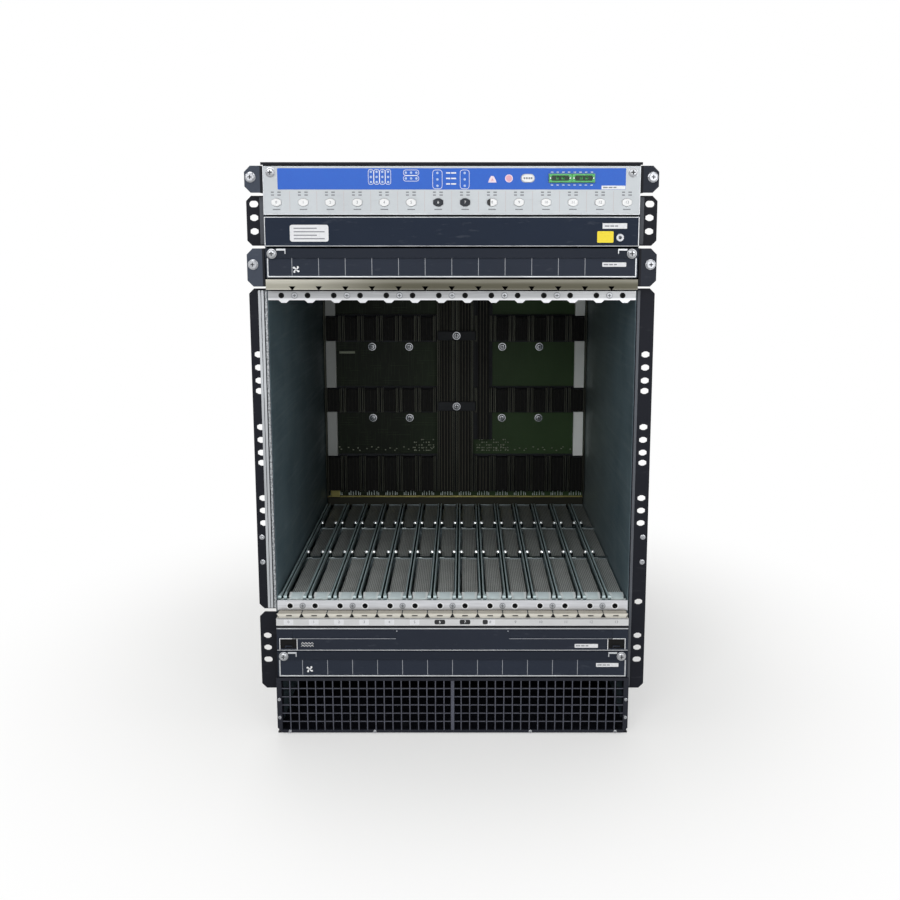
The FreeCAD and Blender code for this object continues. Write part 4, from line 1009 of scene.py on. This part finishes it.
# Painted shadow: a black strip along the top, under the number strip.
shadow = box_loop(-panel_half, panel_half, high - 1.9, high - 0.1)
filter_print("filter_top_seal", [shadow], black_ink, 0.3)
well_y = front_y + 1.4
foot, inner_top, outer_top = low + 1.4, low + 15, low + 15.8
outlines, wells, notches = [], [], []
for left, right, middle in ((-214.2, -193.7, -203.9), (193.7, 214.2, 203.9)):
    inner = [(left - 0.1, foot), (left - 0.1, inner_top), (right + 0.1, inner_top), (right + 0.1, foot)]
    outer = [(right + 0.9, foot), (right + 0.9, outer_top), (left - 0.9, outer_top), (left - 0.9, foot)]
    outlines.append(inner + outer)
    wells.append(box_loop(left + 0.3, right - 0.3, low + 2.5, low + 14.3))
    notches.append(bar(middle - 4.5, middle + 4.5, low + 5, low + 6.2, well_y, 1.7, 0.2))
    notches.append(bar(middle - 4.5, middle - 3.4, low + 2.4, low + 5, well_y, 1.7, 0.2))
filter_print("filter_print", outlines, white_ink)
zigzags = []
for level in (low + 5.2, low + 8.4):
    waves = [(-188 + 1.9 * n, level + 2.2 * (n % 2)) for n in range(9)]
    zigzag = [(a, b + 0.4) for a, b in waves] + [(a, b - 0.4) for a, b in reversed(waves)]
    zigzags.append(print_mesh([zigzag], front_y))
new_piece("filter_sign", joined(zigzags), white_ink, "filter")
# Painted shade in the well of each finger latch.
printed("latch_wells", wells, well_y, recess_shade, 0.06, "filter")
built("latch_notches", notches, filter_paint, "filter")
filter_print("filter_label", [soft_loop(152, 181, low + 3.6, low + 8.6, 0.8)], label_paper, 0.1)
# Painted highlight: a light line along the edge of each grip.
grip_marks = []
for left, dot in ((-199.4, -69), (70.4, 69)):
    grip_marks.append(box_loop(left, left + 129, high - 15.9, high - 15.3))
    grip_marks.append(round_loop(dot, high - 5.6, 0.8, 12))
filter_print("filter_grip_marks", grip_marks, tray_ink)
label_rows("filter_label_rows", 153.5, low + 5.4, front_y - 0.1, "filter")

# Intake grille: black enamelled wires welded into a frame of folded sheet. The wire field is painted darker
# as shade, with a painted highlight along the crest of each wire. Small plated screws hold the frame to the
# walls and the base.
grille = powder_coat("grille_enamel", "23252d", "4c4d52")
x, z = grille.axis("X"), grille.axis("Z")
field_half, field_foot, field_top = 0.2143, 0.0051, 0.0707
wires = (abs(x) < field_half) * (z > field_foot) * (z < field_top)
column_pitch, row_pitch, first_row = 0.010725, 0.011, 0.0049
wire_crest = (0.0003, 0.0008)
across = in_cell(x + column_pitch / 2, column_pitch) * column_pitch
up = in_cell(z + (row_pitch / 2 - first_row), row_pitch) * row_pitch
crest = (1 - grille.step(across, *wire_crest)).most(1 - grille.step(up, *wire_crest))
centre_bar = abs(x) < 0.0021
wire_crest_highlight = grille.clouds(50, "464852", "5c5e69")
# Painted shade over the wire field, and a painted highlight along each crest and the centre bar.
grille.cover(wires, grille.mix(crest.most(centre_bar), "0d0e12", wire_crest_highlight))
dress(grille, "intake_grille")
grille_screws = flanking(217.5, front_y, (22, 46))
grille_screws += [(x, front_y, 3.2) for x in (-205, -98, 98, 205)]
copies("grille_screws", cross_head(2.2, 0.9), grille_screws, screw_steel)

# Plenum panel: dark slate paint on folded sheet, rubbed bright along its edges, with a plated wrist strap
# jack. Its paper labels carry plain bars, and the amber one is bare.
dress(powder_coat("panel_paint", "162030", "757a82"), "plenum_panel")
dress(bolt_plate, "wrist_strap_jack")
low, high = heights("plenum_panel")
edging = [panel_edge(high - 1, high - 0.1)]
edging += bar_pair(217.2, panel_half, low + 0.2, high - 1, *thin_edge)
built("plenum_edging", edging, edge_metal)
worn_metal = bare_metal("worn_edge", "6e7074", "c6c8cb", 0.4, (0.3, 1, 1), 300)
built("plenum_foot_edge", [panel_edge(low + 0.1, low + 1)], worn_metal)
label_thick = 0.12
label_face = front_y - label_thick
wide_label = soft_loop(-188.5, -143.5, low + 5.6, low + 25, 2.5)
tag = box_loop(175.5, 204, low + 20.5, low + 26.8)
printed("plenum_labels", [wide_label, tag], front_y, label_paper, label_thick)
rows = []
for n in range(4):
    foot = low + 8.4 + 4 * n
    rows.append(box_loop(-184, -148 - 9 * (n % 2), foot, foot + 1.2))
printed("plenum_label_rows", rows, label_face, grey_ink)
label_rows("plenum_tag_rows", 178, low + 22.8, label_face)
amber_paper = ink("amber_label", "e9d32c", "cdb634")
amber = soft_loop(169.5, 188.5, low + 4.4, low + 17.6, 1.2)
printed("plenum_amber_label", [amber], front_y, amber_paper, label_thick)

# Display panel: silver painted sheet with a blue printed field across its top. White windows with lamps,
# two rose symbols, and bars and seams for the slots are printed on it. A captive screw stands at each top
# corner, and the foot and the ends are rubbed bare.
dress(powder_coat("display_silver", "c3c8cc", "8f9499", fine_grain), "display_panel")
blue_ink = ink("blue_ink", "1857bb", "2b69c2")
low, high = heights("display_panel")
cutoff_x, cutoff_z = 88, sum(heights("cutoff_button")) / 2
(terminal_left, terminal_y, terminal_low), (terminal_right, _, terminal_high) = box_mm("alarm_terminals")


def display_print(name, loops, finish, y, thick=film):
    printed(name, loops, y, finish, thick)


field_thick, gap = 0.06, 0.6
field_y = front_y - field_thick
field = [
    soft_loop(-201.3, 201.3, 674, 698.2, 1),
    soft_loop(cutoff_x - 8.2, cutoff_x + 8.2, cutoff_z - 5, cutoff_z + 5, 4.9),
    box_loop(terminal_left - gap, terminal_right + gap, terminal_low - gap, terminal_high + gap),
]
display_print("display_blue_field", field, blue_ink, front_y, field_thick)

lamp_groups = [
    (-96.5, -70, 679.6, 697, 4, 3), (-55.9, -37.6, 683.3, 696.4, 3, 2),
    (-22.1, -10.7, 674.6, 696.4, 1, 3), (9.6, 20.6, 674.6, 696.4, 1, 3),
]
outlines, lamps = [], []
for left, right, foot, top, columns, rows in lamp_groups:
    wide, tall = (right - left) / columns, (top - foot) / rows
    if rows == 3:
        frames = [(left + n * wide, left + (n + 1) * wide, foot, top) for n in range(columns)]
    else:
        frames = [(left, right, foot + n * tall, foot + (n + 1) * tall) for n in range(rows)]
    round_end = 0.46 * min(wide, tall)
    for outer in frames:
        inner = [edge + step for edge, step in zip(outer, (0.5, -0.5, 0.5, -0.5))]
        outlines += [soft_loop(*outer, round_end), soft_loop(*inner, round_end - 0.4)]
    for column in range(columns):
        for row in range(rows):
            lamps.append(round_loop(left + wide * (column + 0.5), foot + tall * (row + 0.5), 1.4, 16))
for row in range(3):
    for left, right in ((-6.4, -1.6), (-0.6, 5.2)):
        outlines.append(box_loop(left, right, 679.6 + 6.2 * row, 681.2 + 6.2 * row))
for n in range(8):
    pole = terminal_left + 3.4 + n * 6.55
    for foot in (terminal_high + 1.8, terminal_low - 3.4):
        outlines.append(box_loop(pole - 1.4, pole + 1.4, foot, foot + 0.8))
outlines.append(soft_loop(173.3, 200.9, 674.3, 678.4, 0.5))
display_print("display_white_print", outlines, white_ink, field_y)
lens = ink("lamp_lens", "9fb4d8", "d8e2f2")
display_print("display_lamps", lamps, lens, field_y, 0.2)
pink_ink = ink("pink_ink", "d79fae", "e2bcc6")
rose_ink = ink("rose_ink", "e6d2da", "f0e6ea")
dot_x, dot_z, dot_radius = 66.2, 686.6, 3.7
marks = [[(42.2, 682), (51.8, 682), (51, 684.6), (48.6, 689.4), (45.4, 689.4), (43, 684.6)]]
marks += ring_loops(dot_x, dot_z, 4.5, dot_radius)
display_print("display_rose_marks", marks, rose_ink, field_y)
spots = [round_loop(dot_x, dot_z, dot_radius), [(45.4, 684), (48.6, 684), (47, 687)]]
display_print("display_pink_marks", spots, pink_ink, field_y, 0.1)

slot_marks = []
for x in slot_places:
    for left, right in ((x - 6, x - 2.6), (x + 1.4, x + 5.4)):
        slot_marks += [box_loop(left, right, level, level + 1.5) for level in (667, 670.2)]
    slot_marks.append(box_loop(x - 4.4, x + 4.4, 650.8, 652))
display_print("slot_marks", slot_marks, grey_ink, front_y)
seam_ink = ink("seam_ink", "b9b4b6", "d5d2d2")
seams = [box_loop(x - 0.3, x + 0.3, 648.6, 672.4) for x in boundaries]
display_print("slot_seams", seams, seam_ink, front_y)
captive_screws("display", 209.3, 693.4, "chassis")
label_rows("display_label_rows", 175, 675.6, field_y - film)
edging = [panel_edge(low + 0.1, low + 1.1)]
edging += bar_pair(217.3, panel_half, low + 1.1, high - 0.6, *thin_edge)
built("display_foot_edge", edging, edge_metal)

# Buttons: domed white plastic caps with the slot number, dark ones for the switch cards, and the alarm
# cut-off. Each number rides on its own button.
smooth_grain = 0.00002
button_white = powder_coat("button_white", "e6e7e8", "b5b6b8", smooth_grain)
button_dark = powder_coat("button_dark", "34373c", "6a6d72", smooth_grain)
button_y = box_mm("slot_button_0")[0].y
button_z = sum(heights("slot_button_0")) / 2
for n, x in enumerate(slot_places):
    cap, number_ink = (button_dark, white_ink) if n in switch_slots else (button_white, grey_ink)
    button = f"slot_button_{n}"
    dress(cap, button)
    number = digit_mesh(str(n), x, button_y, button_z, 3.2)
    new_piece(f"button_number_{n}", number, number_ink, button)
oval = soft_loop(half_x - 6, half_x + 6, button_z - 4.2, button_z + 4.2, 4.1)
half = [(x, z) for x, z in oval if x <= half_x - 1.8]
printed("button_half_mark", [half], button_y, black_ink, 0.05, "slot_button_8")
dress(button_white, "cutoff_button")
cutoff_y = box_mm("cutoff_button")[0].y
bar_ends = [cutoff_x + reach for reach in (-5, -2.2, 0.6, 3.2)]
marks = [box_loop(left, left + 2, cutoff_z - 1.1, cutoff_z + 1.1) for left in bar_ends]
printed("cutoff_marks", marks, cutoff_y, grey_ink, body="cutoff_button")

# Alarm terminals and the board behind the display: moulded green blocks with a painted highlight on their
# edges and painted shade for a recess round the wire entries, a small screw at each end, and a green
# circuit board with fine tracks.
green = Finish("terminal_green", IOR=1.5)
green_round, green_edge_highlight = green.edges(0.0005)
# Painted highlight on the edges of the blocks, over a random change of tone.
green.colour(green.mix(green_edge_highlight * 0.6 + 0.3 * green.noise(90), "3f9e55", "86d890"))
green.rough(0.38 + 0.2 * green.noise(140))
green.relief(green.noise(1600, 2), 0.00002, green_round)
dress(green, "alarm_terminals")
# Painted shade: dark print for the recesses round the wire entries.
terminal_shade_ink = ink("terminal_recess", "052416", "0f3f28")
block_wide = (terminal_right - terminal_left - 1.6) / 2
middle = (terminal_low + terminal_high) / 2
recesses, heads = [], []
for left in (terminal_left, terminal_right - block_wide):
    right = left + block_wide
    recesses.append(box_loop(left + 3, right - 3, terminal_low + 1.7, terminal_high - 1.7))
    for share in (0.375, 0.625):
        pole = left + block_wide * share
        recesses.append(box_loop(pole - 1.6, pole + 1.6, middle - 1.6, middle + 1.6))
    heads += [round_loop(x, middle, 0.9, 12) for x in (left + 1.5, right - 1.5)]
printed("terminal_recesses", recesses, terminal_y, terminal_shade_ink)
printed("terminal_screws", heads, terminal_y, white_ink, 0.2)
dress(board, "display_board")

# Studio: a pale plain paper floor that fades into a white ground, and four soft boxes, two in front, one
# above and one behind.
floor_mesh = bpy.data.meshes.new("floor")
floor_mesh.from_pydata([(-6, -4, 0), (6, -4, 0), (6, 8, 0), (-6, 8, 0)], [], [(0, 1, 2, 3)])
floor = placed("floor", floor_mesh)
floor.location.z = -0.0004


def seen(nodes):
    """Where a ray comes from the camera, or from gloss or glass."""
    kinds = ("Camera", "Glossy", "Transmission")
    camera, gloss, glass = [nodes.node("ShaderNodeLightPath", output=f"Is {kind} Ray") for kind in kinds]
    return gloss.most(glass).most(camera)


white = (1, 1, 1, 1)
paper = Finish("floor_paper", Roughness=0.8, IOR=1.2)
paper.colour(paper.clouds(3, "eeeeec", "f4f4f2", 2))
floor_mesh.materials.append(paper.material)
distance = paper.node("ShaderNodeVectorMath", {"operation": "LENGTH"}, {0: paper.place}, "Value")
lifted = seen(paper) * (0.45 + 0.55 * paper.step(distance, 0.34, 0.78))
ground = paper.node("ShaderNodeEmission", None, {"Color": white, "Strength": 1})
sheet = Tone(paper, paper.shader.outputs[0])
both = paper.node("ShaderNodeMixShader", None, {0: lifted, 1: sheet, 2: ground})
paper.feed(paper.tree.nodes["Material Output"], {"Surface": both})

world = bpy.data.worlds.new("studio")
world.use_nodes = True
bpy.context.scene.world = world
sky = Nodes(world.node_tree)
sky.tree.nodes.clear()
soft = sky.node("ShaderNodeBackground", None, {"Strength": 0.45})
backdrop = sky.node("ShaderNodeBackground", None, {"Color": white})
both = sky.node("ShaderNodeMixShader", None, {0: seen(sky), 1: soft, 2: backdrop})
sky.feed(sky.tree.nodes.new("ShaderNodeOutputWorld"), {"Surface": both})


def soft_box(name, place, aim, size, power):
    lamp = bpy.data.lights.new(name, "AREA")
    lamp.size = size
    lamp.energy = power
    holder = placed(name, lamp)
    holder.location = place
    holder.rotation_euler = (Vector(aim) - Vector(place)).to_track_quat("-Z", "Y").to_euler()


soft_box("key", (-0.7, -2.4, 1.7), (0, 0, 0.4), 1.3, 27)
soft_box("fill", (1.1, -2.2, 0.9), (0, 0, 0.35), 1.2, 13)
soft_box("top", (0, 0.2, 2.4), (0, 0, 0.4), 1.6, 24)
soft_box("back", (-0.9, 2.5, 1.5), (0, 0, 0.4), 1.4, 18)

# Camera: in front of the chassis and a little to its right, just below its top, looking slightly down.
# The shift sets the chassis where the photograph has it in its frame.
lens_data = bpy.data.cameras.new("camera")
lens_data.lens = 38.83
lens_data.sensor_width = 36
lens_data.shift_x = -0.0147
lens_data.shift_y = -0.0704
camera = placed("camera", lens_data)
camera.location = (0.0134, -1.4363, 0.6201)
camera.rotation_euler = (math.radians(90 - 8.78), 0, 0)
bpy.context.scene.camera = camera
bpy.context.scene.view_settings.view_transform = "Standard"
